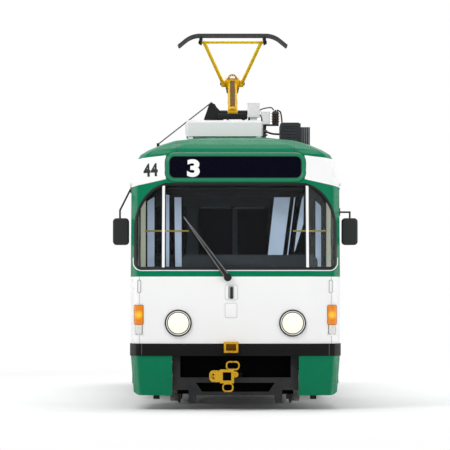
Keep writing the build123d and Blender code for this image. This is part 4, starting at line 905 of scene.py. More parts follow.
pads("lampPlates", "whitePaint", onFront, mirrored([lampPlate["box"]]), 0.02,
     [(0.0, -0.002), (-0.001, 0.003), (-0.004, lampPlate["lift"]), (-0.030, lampPlate["lift"])], 5, 0.03,
     lid=False)
pads("lampRims", "gasketRubber", onFront, mirrored(lampPlate["rims"]), 0.012,
     [(-0.002, 0.003), (-0.001, 0.013), (0.004, 0.012), (0.006, 0.002)], 4, 0.03, lid=False)

# latch plate, blank plate and oval slots on the nose
latch = {"plates": [(-0.121, 0.025, 1.306, 1.480), (-0.121, 0.0165, 1.094, 1.264)], "radius": 0.022,
         "seat": (-0.088, -0.016, 1.318, 1.470), "lever": (-0.062, -0.030, 1.325, 1.458),
         "slots": [(-1.165, -1.122), (1.111, 1.155)]}
pads("nosePlates", "whitePaint", onFront, latch["plates"], latch["radius"],
     [(0.001, -0.001), (0.0, 0.0025), (-0.003, 0.004)], 5, 0.05)
pads("nosePlateSeals", "greySealsAndCornerSheen", onFront, latch["plates"], latch["radius"],
     [(-0.0005, -0.001), (0.0005, 0.0015), (0.003, 0.001), (0.0035, -0.001)], 5, 0.05, lid=False)
pads("latchSeat", "galvanised", onFront, [latch["seat"]], 0.012,
     [(0, 0.003), (0, 0.006), (-0.004, 0.008)], 4, 0.05)
bm = bmesh.new()
addPad(bm, onFront, latch["lever"], 0.014,
       [(0, 0.007), (0.001, 0.018), (-0.004, 0.025), (-0.009, 0.027)], 5, 0.04)
knob = [(0.020, 0), (0.020, 0.016), (0.014, 0.021), (0, 0.022)]
addTurned(bm, knob, onFront(-0.046, 1.335, 0.006), (0, -1, 0.05), 24)
piece("latchLever", bm, "frameSteel")
pads("slotRims", "galvanised", onFront, [(a, b, 1.386, 1.543) for a, b in latch["slots"]], 0.0205,
     [(0.003, -0.001), (0.002, 0.004), (-0.003, 0.006), (-0.008, 0.004), (-0.009, -0.001)], 7, 0.04,
     lid=False)
pads("slotCovers", "whitePaint", onFront,
     [(a + 0.008, b - 0.008, 1.394, 1.535) for a, b in latch["slots"]], 0.0125,
     [(0, -0.001), (0, 0.0015), (-0.002, 0.002)], 7, 0.04)

# grey corner strips on the bumper bars are a painted sheen; small lamps on the upper corners
bm = bmesh.new()
for place in (onFront, onRear):
    for box in ((-1.164, -1.110, 0.643, 0.783), (1.110, 1.164, 0.643, 0.783)):
        addPad(bm, place, box, 0.004, [(0, 0.008), (0, 0.0125), (-0.003, 0.0135)], 3, 0.03)
piece("bumperCornerSheen", bm, "greySealsAndCornerSheen")
bm = bmesh.new()
for side in both:
    addTurned(bm, [(0.019, -0.01), (0.019, 0.008), (0.015, 0.016), (0.008, 0.0195), (0, 0.0205)],
              (side * 1.247, -6.62, 2.687), (side, -0.25, 0), 24)
piece("cornerLamps", bm, "whiteLens")
print("front details made")

# what shows behind the windscreen
cabView = {
    "wallY": -6.010,
    # the cab door panes are near-black sheets: painted shade of the room behind
    "panes": {"cabDoorPanes": ("cabPaneShadeBlack", [(-0.443, -0.026, 1.862, 2.404), (0.018, 0.391, 1.862, 2.404)]),
              "cabWallPanes": ("smokedPane", [(-1.100, -0.600, 1.870, 2.430), (0.430, 0.930, 1.870, 2.430)])},
    "posts": [(-1.160, -1.085), (1.105, 1.180)],
    "postZ": (1.66, 2.70),
    # the pale blue streaks behind the windscreen, with dark rims, are painted reflections
    "reflectionStreaksY": -6.300,
    "screens": [[(-1.066, 1.700), (-0.968, 1.700), (-0.968, 2.560), (-1.066, 2.500)],
                [(-0.842, 1.700), (-0.790, 1.700), (-0.790, 2.640), (-0.842, 2.630)],
                [(-0.730, 1.700), (-0.639, 1.700), (-0.645, 2.630), (-0.742, 2.640)],
                [(0.370, 1.700), (0.560, 1.700), (0.672, 2.560), (0.470, 2.610)],
                [(0.600, 1.700), (0.624, 1.700), (0.734, 2.560), (0.706, 2.575)],
                [(0.700, 1.860), (0.728, 1.900), (0.828, 2.220), (0.834, 2.592), (0.795, 2.520),
                 (0.742, 2.220)],
                [(0.960, 1.700), (1.040, 1.700), (1.040, 2.440), (0.960, 2.520)]],
    "rails": [(-1.09, -0.56), (0.697, 1.108)],
    "railZ": 2.136,
    "blindZ": (2.560, 2.690),
    "mullion": (-0.034, 0.026, 1.850, 2.416),
}


def onWall(x, z, lift=0.0):
    return Vector((x, cabView["wallY"] - lift, z))


for name, (mat, boxes) in cabView["panes"].items():
    pads(name, mat, onWall, boxes, 0.02, [(0, 0), (0, 0.005), (-0.004, 0.006)], 4, 0.2)
    pads(name + "Seals", "ceilingBlack", onWall, boxes, 0.02,
         [(-0.004, 0.005), (0.0, 0.011), (0.010, 0.011), (0.014, 0.0)], 4, 0.2, lid=False)
bm = bmesh.new()
for low, high in cabView["posts"]:
    addBox(bm, (low, -6.085, cabView["postZ"][0]), (high, -6.012, cabView["postZ"][1]), 0.02, 4)
# the cab posts glow: painted light
piece("cabPosts", bm, "creamPanelPaintedGlow")
# glowing pale blue streaks behind the glass: painted reflections
bm, edges = bmesh.new(), bmesh.new()
y = cabView["reflectionStreaksY"]
for outline in cabView["screens"]:
    addSlab(bm, outline, y, 0.012)
    for a, b in zip(outline, outline[1:] + outline[:1]):
        addRod(edges, (a[0], y + 0.006, a[1]), (b[0], y + 0.006, b[1]), 0.009, 8)
bmesh.ops.bevel(bm, geom=list(bm.edges), offset=0.002, segments=1, affect="EDGES")
piece("cabReflectionStreaks", bm, "paintedReflectionBlue")
piece("cabReflectionStreakFrames", edges, "ceilingBlack")
bm = bmesh.new()
z = cabView["railZ"]
for low, high in cabView["rails"]:
    addRod(bm, (low, -6.315, z), (high, -6.315, z), 0.010, 12)
    for x in (low + 0.03, high - 0.03):
        addRod(bm, (x, -6.315, z), (x, -6.290, z), 0.008, 10)
piece("cabHandrails", bm, "poleYellow")
bm = bmesh.new()
low, high = cabView["blindZ"]
addBox(bm, (-0.83, -6.700, low), (0.83, -6.640, high), 0.020, 4)
for x0, x1 in ((-0.78, -0.02), (0.02, 0.78)):
    addBox(bm, (x0, -6.706, low - 0.030), (x1, -6.680, low + 0.01), 0.006, 3)
piece("sunBlinds", bm, "ceilingBlack")
bm = bmesh.new()
addRod(bm, (-0.80, -6.704, 2.634), (0.80, -6.704, 2.634), 0.007, 12)
piece("blindRail", bm, "wallGrey")
x0, x1, z0, z1 = cabView["mullion"]
bm = bmesh.new()
addBox(bm, (x0, -6.024, z0), (x1, -6.009, z1))
addBox(bm, (-0.460, -6.017, z1 - 0.014), (0.410, -6.009, z1 + 0.004))
piece("doorMullion", bm, "wallGrey")

# driver's desk
desk = {"gauges": [(x, -6.541, 1.755) for x in (0.02, 0.16, 0.30)], "gaugeRadius": 0.045, "switches": 14,
        "topZ": 1.640, "lever": (-0.30, -6.56)}
top, r = desk["topZ"], desk["gaugeRadius"]
bm = bmesh.new()
addPad(bm, lambda x, y, lift: Vector((x, y, top + lift)), (-0.62, 0.62, -6.535, -6.505), 0.01,
       [(0, -0.002), (0, 0.006), (-0.004, 0.008)], 3, 0.2)
for i in range(desk["switches"]):
    addTurned(bm, [(0.010, 0.006), (0.010, 0.020), (0.006, 0.026), (0, 0.027)],
              (-0.52 + i * 0.08, -6.52, top),
              (0, 0.15, 1), 12)
piece("deskSwitches", bm, "blackPaint")
turned("deskGauges", "chrome", desk["gauges"],
       [(r, 0), (r, 0.018), (r - 0.006, 0.024), (r - 0.010, 0.014), (0, 0.012)], (0, 1, 0.1), 28)
turned("driveLever", "blackPaint", [(*desk["lever"], top)],
       [(0.05, 0), (0.05, 0.012), (0.018, 0.03), (0.014, 0.13), (0.026, 0.15), (0.03, 0.175), (0.018, 0.192),
        (0, 0.195)], (0, 0.25, 1), 24)
print("cab made")

# roof gear: converter box and resistor bank
roofGear = {
    "box": (-0.605, 0.343, -5.300, -4.600, 3.330, 3.515),
    "vents": 6,
    "bank": (0.560, 0.810, -5.400, -4.450, 3.485),
    "fins": (14, -5.350, 0.064, 0.022),   # count, first, pitch, thickness
    "finZ": (3.190, 3.436),
}
x0, x1, y0, y1, z0, z1 = roofGear["box"]
bm = bmesh.new()
addBox(bm, (x0 + 0.018, y0 + 0.018, z1 - 0.004), (x1 - 0.018, y1 - 0.018, z1 + 0.014), 0.008, 3)
for i in range(3):
    x = x0 + 0.2 + i * 0.27
    addBox(bm, (x, y0 + 0.12, z1 + 0.010), (x + 0.03, y1 - 0.12, z1 + 0.024), 0.006, 3)
piece("boxLid", bm, "roofWhite")
bm = bmesh.new()
for i in range(4):
    x = x0 + 0.10 + i * 0.25
    addTurned(bm, [(0.010, 0), (0.010, 0.006), (0.006, 0.008), (0, 0.008)], (x, y1, z1 - 0.03), (0, 1, 0), 6)
    addBox(bm, (x - 0.024, y1, z1 - 0.06), (x + 0.024, y1 + 0.005, z1 - 0.014), 0.002, 1)
for x, out in ((x0, -1), (x1, 1)):
    for i in range(roofGear["vents"]):
        y = y0 + 0.08 + i * 0.095
        for k in range(5):
            z = z0 + 0.04 + k * 0.024
            addBox(bm, (x, y, z), (x + out * 0.008, y + 0.07, z + 0.012), 0.003, 1)
piece("boxVents", bm, "galvanised")

x0, x1, y0, y1, z1 = roofGear["bank"]
count, start, pitch, thick = roofGear["fins"]
low, high = roofGear["finZ"]
bm = bmesh.new()
for i in range(count):
    y = start + i * pitch
    for k in range(4):
        x = x1 + 0.010 + k * 0.027
        addBox(bm, (x, y - 0.004, low), (x + 0.012, y + thick + 0.004, high), 0.003, 1)
piece("finRibs", bm, "finPale")
bm = bmesh.new()
for i in range(16):
    y = y0 + 0.045 + i * 0.055
    addBox(bm, (x0 + 0.02, y, z1 - 0.002), (x1 - 0.02, y + 0.026, z1 + 0.012), 0.004)
addPad(bm, lambda x, z, lift: Vector((x, y0 - lift, z)), (x0 + 0.02, x1 - 0.02, 3.22, z1 - 0.03), 0.015,
       [(0.004, -0.002), (0.0, 0.006), (-0.010, 0.006), (-0.014, 0.0)], 4, 0.2, lid=False)
for i in range(5):
    z = 3.27 + i * 0.038
    addBox(bm, (x0 + 0.045, y0 - 0.006, z), (x1 - 0.045, y0 + 0.002, z + 0.018), 0.003, 1)
piece("bankGrilles", bm, "resistorDark")

# insulators and the pantograph's small pieces
panto = {"x": -0.025, "y": -3.200, "pivotZ": 3.740, "arm": 1.300, "angle": 20.6, "headZ": 4.6548,
         "top": 4.7568,
         "foot": (0.390, 0.520), "strip": 0.140, "shed": 28}
feet = [(panto["x"] + a * panto["foot"][0], panto["y"] + b * panto["foot"][1]) for a in both for b in both]
turned("insulatorSheds", "insulatorBrown", [(x, y, 3.486 - i * 0.052) for x, y in feet for i in range(4)],
       [(0.040, 0.002), (0.0556, -0.002), (0.0580, -0.010), (0.0556, -0.019), (0.042, -0.024)], (0, 0, 1),
       panto["shed"])
bm = bmesh.new()
for x, y in feet:
    addBlock(bm, (x, y, 3.269), (0.075, 0.075, 0.007), 0.004)
    for a in both:
        for b in both:
            addBolt(bm, (x + a * 0.056, y + b * 0.056, 3.276), (0, 0, 1), 0.009, 0.010)
            addBolt(bm, (x + a * 0.022, y + b * 0.022, 3.560), (0, 0, 1), 0.007, 0.008)
piece("insulatorFeet", bm, "galvanised")

rise = radians(panto["angle"])
armWay, armDown = Vector((0, cos(rise), sin(rise))), Vector((0, sin(rise), -cos(rise)))
pivot = Vector((panto["x"], panto["y"], panto["pivotZ"]))
knee = pivot + armWay * panto["arm"]


def alongArm(share, down=0.0, side=0.0):
    return pivot + armWay * panto["arm"] * share + armDown * down + Vector((side, 0, 0))


def beside(point, side, reach, back=0.0, down=0.0):
    return point + Vector((side * reach, -back, -down))


# a dark brown strip along the lower arm stands for the shade in its channel: painted shade
channel = [(-0.032, -0.050), (-0.032, -0.0645), (-0.027, -0.0670), (0.027, -0.0670), (0.032, -0.0645),
           (0.032, -0.050)]   # across the arm, down from it
bm = bmesh.new()
joinRings(bm, [[bm.verts.new(alongArm(share, d, s)) for s, d in channel] for share in (0.06, 0.94)],
          capped=True)
piece("armChannelShade", bm, "armShadeBrown", "pantograph_lower")
bm = bmesh.new()
for share in (0.07, 0.35, 0.63, 0.91):
    addTurned(bm, [(0.0625, -0.016), (0.0655, -0.013), (0.0655, 0.013), (0.0625, 0.016)], alongArm(share),
              armWay, 32)
for side in both:
    addTurned(bm, [(0.045, 0), (0.048, 0.003), (0.048, 0.010), (0.040, 0.014), (0, 0.015)],
              beside(knee, side, 0.090),
              (side, 0, 0), 28)
piece("armCollars", bm, "pantographYellow", "pantograph_lower")
bm = bmesh.new()
for x in (-0.034, 0.034):
    addRod(bm, alongArm(0.08, 0.085, x), alongArm(0.95, 0.085, x), 0.009, 12)
    for share in (0.10, 0.93):
        addRod(bm, alongArm(share, 0.050, x), alongArm(share, 0.092, x), 0.012, 12)
piece("armGuideRods", bm, "blackPaint", "pantograph_lower")
turned("kneeNuts", "blackPaint", [beside(knee, side, 0.1465) for side in both],
       [(0.030, 0), (0.030, 0.006), (0.022, 0.006), (0.022, 0.014), (0.014, 0.018), (0, 0.018)], None, 24,
       "pantograph_lower")
turned("kneeStops", "blackPaint", [beside(knee, side, 0.06, 0.02, 0.070) for side in both],
       [(0.022, 0), (0.024, 0.020), (0.018, 0.050), (0.010, 0.060), (0, 0.062)], (0, 0, -1), 20,
       "pantograph_lower")

# lifting springs lie on the base frame
spring = {"x": 0.135, "z": 3.600, "radius": 0.026, "wire": 0.006, "start": -2.72, "pitch": 0.0055,
          "points": 76}
bm = bmesh.new()
for side in both:
    x, z, r = panto["x"] + side * spring["x"], spring["z"], spring["radius"]
    addPipe(bm, [(x + r * cos(t * pi / 5), spring["start"] - t * spring["pitch"], z + r * sin(t * pi / 5))
                 for t in range(spring["points"])], spring["wire"], 7)
    addRod(bm, (x, -2.665, z), (x, -3.150, z), 0.009, 12)
    addBox(bm, (x - 0.03, -2.690, 3.556), (x + 0.03, -2.662, 3.632), 0.005)
piece("liftSprings", bm, "springSteel")

# collector strips and horn tips
bm, clamps = bmesh.new(), bmesh.new()
for side in both:
    y = panto["y"] + side * panto["strip"]
    for i in range(4):
        x = panto["x"] - 0.400 + i * 0.2005
        addBox(bm, (x, y - 0.0165, panto["top"] - 0.004), (x + 0.198, y + 0.0165, panto["top"] - 0.0002),
               0.0012, 1)
    for hand in both:
        x = panto["x"] + hand * 0.412
        addBlock(clamps, (x, y, panto["top"] - 0.053), (0.022, 0.028, 0.019), 0.006)
        place = (x + hand * 0.012, panto["y"] + side * 0.075, panto["headZ"] + 0.030)
        addBolt(clamps, place, (hand, 0, 0), 0.009, 0.010)
    addTurned(clamps, [(0.024, 0), (0.026, 0.004), (0.026, 0.014), (0.018, 0.020), (0, 0.021)],
              (panto["x"] + side * 0.424, panto["y"], panto["headZ"]), (side, 0, 0), 24)
piece("collectorStrips", bm, "carbon", "pantograph_pan")
piece("panClamps", clamps, "blackPaint", "pantograph_pan")

# sleeves over the surge arrester, fixed conduits and boxes beside the base
arrester = (0.523, -3.730)
bm = bmesh.new()
for i in range(4):
    addTurned(bm, [(0.041, 0), (0.052, 0.005), (0.053, 0.011), (0.050, 0.015), (0.041, 0.020)],
              (*arrester, 3.586 + i * 0.034), (0, 0, 1), panto["shed"])
addTurned(bm, [(0.034, 0), (0.034, 0.012), (0.012, 0.014), (0.012, 0.030), (0, 0.031)], (*arrester, 3.717),
          (0, 0, 1), 20)
piece("arresterSheds", bm, "insulatorBrown")
conduits = [   # radius, gap between rings, points
    (0.008, 0.02, [(0.500, -3.73, 3.742), (0.470, -3.74, 3.775), (0.400, -3.75, 3.768), (0.330, -3.77, 3.745),
                   (0.315, -3.775, 3.700), (0.345, -3.78, 3.640), (0.345, -3.785, 3.590)]),
    (0.010, 0.03, [(0.545, -3.73, 3.742), (0.585, -3.76, 3.720), (0.600, -3.82, 3.640), (0.610, -3.95, 3.520),
                   (0.640, -4.20, 3.420), (0.680, -4.44, 3.400)]),
    (0.011, 0.03, [(0.100, -3.765, 3.530), (0.100, -3.90, 3.480), (0.060, -4.20, 3.400),
                   (0.060, -4.58, 3.400)]),
    (0.011, 0.03, [(-0.200, -3.765, 3.530), (-0.200, -3.92, 3.460), (-0.260, -4.25, 3.370),
                   (-0.260, -4.58, 3.370)]),
    (0.012, 0.02, [(0.343, -4.80, 3.40), (0.400, -4.80, 3.405), (0.470, -4.80, 3.385), (0.558, -4.80, 3.38)]),
]
bm = bmesh.new()
for radius, gap, points in conduits:
    addCurve(bm, points, radius, 8, gap)
piece("roofConduits", bm, "blackPaint")
smallBoxes = [(0.165, 0.322, -3.790, -3.670, 3.650, 3.830), (0.338, 0.453, -3.775, -3.685, 3.560, 3.719)]
bm = bmesh.new()
for x0, x1, y0, y1, z0, z1 in smallBoxes:
    addBox(bm, (x0 + 0.008, y0 - 0.003, z0 + 0.010), (x1 - 0.008, y0 + 0.001, z1 - 0.012), 0.002, 1)
    addBox(bm, (x0 - 0.003, y0 - 0.003, z1 - 0.010), (x1 + 0.003, y1 + 0.003, z1 + 0.005), 0.004)
    for z in (z0 + 0.03, z1 - 0.04):
        for x in (x0 + 0.022, x1 - 0.022):
            addBolt(bm, (x, y0 - 0.003, z), (0, -1, 0), 0.005, 0.006)
piece("smallBoxCovers", bm, "roofWhite")
print("roof gear made")

# side windows: seals, sliding tops and their handles
windowRows = {
    "left": (onLeft, [((i - 3.5) * 1.450 + 0.060, 1.250) for i in range(8)] + [(-6.050, 0.330)]),
    "right": (onRight, [(a + b, 1.180) for a in (-2.650, 2.650) for b in (-1.290, 0.0, 1.290)]),
}
# Panes narrower than "slides" have no sliding top.
windowSetup = {"z": (1.640, 2.460), "radius": 0.080, "slideZ": 2.180, "slides": 0.5}
windowSeal = [(-0.020, -0.017), (-0.020, -0.006), (-0.008, 0.004), (0.006, 0.005), (0.013, -0.001)]
z0, z1 = windowSetup["z"]
slide, radius = windowSetup["slideZ"], windowSetup["radius"]
for side, (place, openings) in windowRows.items():
    seals, alloy, handles = bmesh.new(), bmesh.new(), bmesh.new()
    for centre, width in openings:
        y0, y1 = centre - width / 2, centre + width / 2
        addPad(seals, place, (y0, y1, z0, z1), radius, windowSeal, 7, lid=False)
        addPad(alloy, place, (y0, y1, z0, z1), radius,
               [(-0.034, -0.018), (-0.032, -0.010), (-0.021, -0.010), (-0.019, -0.018)], 7, lid=False)
        if width < windowSetup["slides"]:
            continue
        addPad(alloy, place, (y0 + 0.02, y1 - 0.02, slide - 0.014, slide + 0.014), 0.004,
               [(0, -0.018), (0, -0.006), (-0.004, -0.003), (-0.010, -0.003)], 3, 0.4)
        for y in (y0 + width * 0.48, y0 + width * 0.52):
            addPad(alloy, place, (y - 0.009, y + 0.009, slide + 0.010, z1 - 0.018), 0.003,
                   [(0, -0.018), (0, -0.010), (-0.003, -0.008)], 3)
        for y in (y0 + width * 0.30, y0 + width * 0.70):
            addPad(handles, place, (y - 0.045, y + 0.045, z1 - 0.050, z1 - 0.034), 0.006,
                   [(0, -0.017), (0, -0.006), (-0.003, -0.002)])
    piece(side + "WindowSeals", seals, "gasketRubber")
    piece(side + "WindowFrames", alloy, "frameAlloy")
    piece(side + "WindowHandles", handles, "blackPaint")

# drip rails, rub strips, hatches and reflectors on the sides
sideTrim = {
    "drip": (-6.25, 6.25, 2.640, 2.656),
    "rubZ": (0.700, 0.738),
    "hatchZ": (0.335, 0.600),
    "hatchIn": 0.008,
    "reflectors": [-6.05, -1.5, 1.5, 6.05],
}
sideRows = [   # side, lengths of rub strip, middle and width of each hatch
    (onLeft, [(-6.25, 6.25)], [(-5.2, 0.62), (-1.15, 0.80), (0.95, 0.80), (5.25, 0.62)]),
    (onRight, [(-4.60, -0.70), (0.70, 4.60), (6.00, 6.25), (-6.25, -6.00)], [(-1.33, 0.50), (1.33, 0.50)]),
]
gutter = [(0, -0.004), (0.002, 0.008), (0.0, 0.013), (-0.004, 0.011)]
reflector = [(0, -0.001), (0, 0.006), (-0.005, 0.009)]
drips, rubs, hatches, hinges, lights = [bmesh.new() for _ in range(5)]
for place, strips, lids in sideRows:
    def onSkirt(y, z, lift, place=place):
        return place(y, z, lift - sideTrim["hatchIn"])

    addPad(drips, place, sideTrim["drip"], 0.004, gutter, 3, 0.8)
    for strip in strips:
        addPad(rubs, place, (*strip, *sideTrim["rubZ"]), 0.010,
               [(0, -0.001), (0, 0.007), (-0.006, 0.0095)], 4, 0.8)
    for y in sideTrim["reflectors"]:
        addPad(lights, place, (y - 0.045, y + 0.045, 0.815, 0.855), 0.012, reflector)
    for centre, width in lids:
        low, high = centre - width / 2, centre + width / 2
        addPad(hatches, onSkirt, (low, high, *sideTrim["hatchZ"]), 0.018,
               [(0.003, -0.001), (0.002, 0.0035), (-0.002, 0.005), (-0.012, 0.005)], 4, 0.4)
        for y in (low + width * 0.2, low + width * 0.8):
            addPad(hinges, onSkirt, (y - 0.028, y + 0.028, 0.576, 0.612), 0.005,
                   [(0, 0.004), (0, 0.009), (-0.003, 0.011)], 3)
            lock = place(y, 0.365, -0.004)
            addTurned(hinges, [(0.016, 0), (0.016, 0.004), (0.010, 0.006), (0, 0.006)], lock,
                      (lock.x, 0, 0), 18)
piece("dripRails", drips, "bodyPaint")
piece("rubStrips", rubs, "bumperRubber")
piece("skirtHatches", hatches, "greenPaint")
piece("hatchHinges", hinges, "galvanised")
piece("sideReflectors", lights, "orangeLens")

# car number on both sides, and a lamp above each doorway
for name, place, y in (("Left", onLeft, -5.55), ("Right", lambda u, z, lift: onRight(-u, z, lift), 4.22)):
    lettering("sideNumber" + name, "44", place, (y, 1.33), 0.20, "numeralBlack", width=0.82, bold=0.035,
              lift=0.001)
doorSetup = {
    "centres": (-5.3, 0.0, 5.3),
    "leafWidth": 0.3135,
    "outer": -0.645,
    "gap": 0.010,
    "z": (0.390, 2.588),
    "glass": (1.300, 2.478),
    "margin": 0.055,
    "faces": ((-1.236, -1), (-1.206, 1)),   # outside and inside
    "lampZ": 2.620,
}
pads("doorLampHousings", "blackPaint", onRight,
     [(y - 0.09, y + 0.09, 2.606, 2.634) for y in doorSetup["centres"]],
     0.010, [(0, -0.001), (0, 0.010), (-0.004, 0.013), (-0.012, 0.013)], 4, 0.4)
turned("doorLamps", "redLens",
       [onRight(y + side * 0.045, doorSetup["lampZ"], 0.012) for y in doorSetup["centres"]
        for side in both],
       [(0.011, 0), (0.011, 0.006), (0.006, 0.011), (0, 0.0125)], (-1, 0, 0), 20)

# door leaves: seals round the glass, finger guards, kick plates and push bars
width, margin = doorSetup["leafWidth"], doorSetup["margin"]
z0, z1 = doorSetup["z"]
starts = {"a1": doorSetup["outer"], "a2": doorSetup["outer"] + width + doorSetup["gap"]}
starts.update({"b1": -starts["a1"] - width, "b2": -starts["a2"] - width})
for index, centre in enumerate(doorSetup["centres"], 1):
    for leaf, start in starts.items():
        low, high = centre + start, centre + start + width
        rubber, plates = bmesh.new(), bmesh.new()
        for x, out in doorSetup["faces"]:
            def onLeaf(y, z, lift, x=x, out=out):
                return Vector((x + out * lift, y, z))

            addPad(rubber, onLeaf, (low + margin, high - margin, *doorSetup["glass"]), 0.03,
                   [(-0.012, -0.010), (-0.011, 0.001), (-0.002, 0.003), (0.006, 0.003), (0.010, -0.001)], 5,
                   lid=False)
            addPad(plates, onLeaf, (low + 0.014, high - 0.014, z0 + 0.012, z0 + 0.150), 0.01,
                   [(0, -0.001), (0, 0.0015), (-0.003, 0.0025)], 3, 0.4)
            for y in (low + width * 0.15, low + width * 0.85):
                for z in (z0 + 0.030, z0 + 0.132):
                    addTurned(plates, [(0.006, 0.002), (0.005, 0.004), (0, 0.0045)], (x, y, z),
                              (out, 0, 0), 10)
        if leaf in ("a2", "b2"):   # the leaves that meet carry the finger guard and the push bar
            meet, sign = (high, 1) if leaf == "a2" else (low, -1)
            addBox(rubber, (-1.2325, meet - sign * 0.004, z0 + 0.004),
                   (-1.2095, meet + sign * 0.0065, z1 - 0.004),
                   0.003, 3)
            y = low + width / 2
            for z in (1.02, 1.22):
                addRod(plates, (x - 0.001, y, z), (x + 0.045, y, z), 0.007, 12)
            addRod(plates, (x + 0.045, y, 0.98), (x + 0.045, y, 1.26), 0.010, 14)
        piece(f"doorSeal{index}{leaf}", rubber, "gasketRubber", f"leaf_{index}_{leaf}")
        piece(f"doorPlates{index}{leaf}", plates, "kickSteel", f"leaf_{index}_{leaf}")

# ribs and nosings on the steps
stepSetup = {"treads": [(-1.196, -0.872, 0.380), (-0.868, -0.602, 0.640), (-0.612, -0.560, 0.900)],
             "pitch": 0.03}
bm, nosings = bmesh.new(), bmesh.new()
for centre in doorSetup["centres"]:
    for x0, x1, z in stepSetup["treads"]:
        addBox(nosings, (x0 + 0.01, centre - 0.63, z), (x0 + 0.045, centre + 0.63, z + 0.004), 0.0015, 1)
        for i in range(int((x1 - x0 - 0.07) / stepSetup["pitch"])):
            x = x0 + 0.06 + i * stepSetup["pitch"]
            addBox(bm, (x, centre - 0.62, z), (x + 0.012, centre + 0.62, z + 0.0025), 0.001, 1)
piece("stepRibs", bm, "floorRubber")
piece("stepNosings", nosings, "poleYellow")
print("sides and doors made")

# seat cushions inside
seatSetup = {
    "passenger": [(0.955, -4.400 + 0.780 * i) for i in range(13)]
                 + [(-0.955, y) for y in (-4.15, -3.37, -2.59, -1.81, 1.31, 2.09, 2.87, 3.65)],
    "driver": [(0.120, -6.330)],
    "panZ": 1.330,
    "half": 0.188,
    "thick": 0.042,
    "fabrics": {"passenger": "seatFabric", "driver": "driverFabric"},
    "channels": (-0.34, 0.34),
    "grid": 14,
}


def addCushion(bm, centre, along, out, halfV, thick):
    # crowned pad: sides draw in between the corners, two sewn channels run across
    count = seatSetup["grid"]
    centre, across = Vector(centre), Vector((seatSetup["half"], 0, 0))
    along, out = Vector(along).normalized() * halfV, Vector(out).normalized() * thick

    def spot(i, j, lid):
        u, v = 2 * i / count - 1, 2 * j / count - 1
        drawn = 1 - 0.045 * (1 - v * v) * abs(u) ** 3
        drawnV = 1 - 0.035 * (1 - u * u) * abs(v) ** 3
        crown = ((1 - abs(u) ** 5) * (1 - abs(v) ** 5)) ** 0.4
        dip = sum(0.16 * max(0, 1 - abs(v - line) / 0.13) for line in seatSetup["channels"])
        share = 0.22 if i in (0, count) or j in (0, count) else 0.30 + 0.70 * crown * (1 - dip)
        return bm.verts.new(centre + across * u * drawn + along * v * drawnV + out * share * lid)

    layers = [[[spot(i, j, lid) for j in range(count + 1)] for i in range(count + 1)] for lid in (1, 0)]
    for rows in layers:
        joinRings(bm, rows, closed=False)
    top, low = layers
    for edge in (lambda rows: rows[0], lambda rows: rows[count], lambda rows: [row[0] for row in rows],
                 lambda rows: [row[count] for row in rows]):
        joinRings(bm, [edge(top), edge(low)], closed=False)


for name, mat in seatSetup["fabrics"].items():
    cushions, backs = bmesh.new(), bmesh.new()
    z, thick = seatSetup["panZ"], seatSetup["thick"]
    for x, y in seatSetup[name]:
        addCushion(cushions, (x, y - 0.012, z - 0.008), (0, 0.998, -0.052), (0, 0.052, 0.998), 0.172, thick)
        addCushion(backs, (x, y + 0.2195, z + 0.255), (0, 0.184, 0.983), (0, -0.983, 0.184), 0.185,
                   thick * 0.85)
    piece(name + "SeatPads", cushions, mat, smooth=60)
    piece(name + "BackPads", backs, mat, smooth=60)

# grips on the seat backs, pole sockets and bell buttons
grip = [(-0.16, -0.004), (-0.16, 0.045), (0.16, 0.045), (0.16, -0.004)]
top = seatSetup["panZ"] + 0.470
bm = bmesh.new()
for x, y in seatSetup["passenger"]:
    addCurve(bm, [(x + a, y + 0.2825, top + b) for a, b in grip], 0.011, 10)
piece("seatGrips", bm, "poleYellow")
poles = [(side * 0.520, y) for side in both for y in (-4.4, -2.5, -0.9, 0.9, 2.5, 4.4)]
turned("poleSockets", "galvanised", [(x, y, 0.900) for x, y in poles],
       [(0.034, 0), (0.034, 0.006), (0.024, 0.020), (0.0178, 0.022)], (0, 0, 1), 20)
bm = bmesh.new()
for x, y in poles:
    addBox(bm, (x - 0.024, y - 0.040, 1.960), (x + 0.024, y - 0.0175, 2.050), 0.008, 3)
piece("bellButtons", bm, "redLens")

# ceiling light strips
bm, rims = bmesh.new(), bmesh.new()
for x in (-0.62, 0.62):
    for y in [-5.0 + i * 1.22 for i in range(9)]:
        addBox(bm, (x - 0.055, y, 3.118), (x + 0.055, y + 1.02, 3.142), 0.012, 3)
        addBox(rims, (x - 0.070, y - 0.02, 3.132), (x + 0.070, y + 1.04, 3.150), 0.005)
piece("ceilingLamps", bm, "lampCover")
piece("ceilingLampRims", rims, "galvanised")
print("inside made")

# bogies: coil springs, box covers, bolts, motor ribs, pipes
bogieSetup = {
    "ys": {"bogie_front": -3.200, "bogie_rear": 3.200},
    "axles": {"wheels_1": -4.150, "wheels_2": -2.250, "wheels_3": 2.250, "wheels_4": 4.150},
    "axleZ": 0.378,
    "face": 1.010,
    "coil": (0.0945, 0.0105, 5.5, 16, 0.500, 0.716),   # radius, wire, turns, steps in a turn, low, high
}
sideBolts = [(y, 0.530 if abs(y) > 0.5 else 0.440, 0.013, 0.011)
             for y in (-0.98, -0.72, -0.30, 0.30, 0.72, 0.98)]
sideBolts += [(y, 0.325, 0.011, 0.010) for y in (-0.30, -0.10, 0.10, 0.30)]
brakePipe = [(0.948, -0.90, 0.540), (0.935, -0.60, 0.535), (0.935, -0.42, 0.465), (0.935, 0.42, 0.465),
             (0.935, 0.60, 0.535), (0.948, 0.90, 0.540)]
radius, wire, turns, steps, low, high = bogieSetup["coil"]
axleZ = bogieSetup["axleZ"]


def spotsRound(y, z, radius, count, first=0.0):
    # evenly spaced spots on a circle in the plane of a wheel
    return [(y + radius * cos(a), z + radius * sin(a))
            for a in [first + 2 * pi * k / count for k in range(count)]]


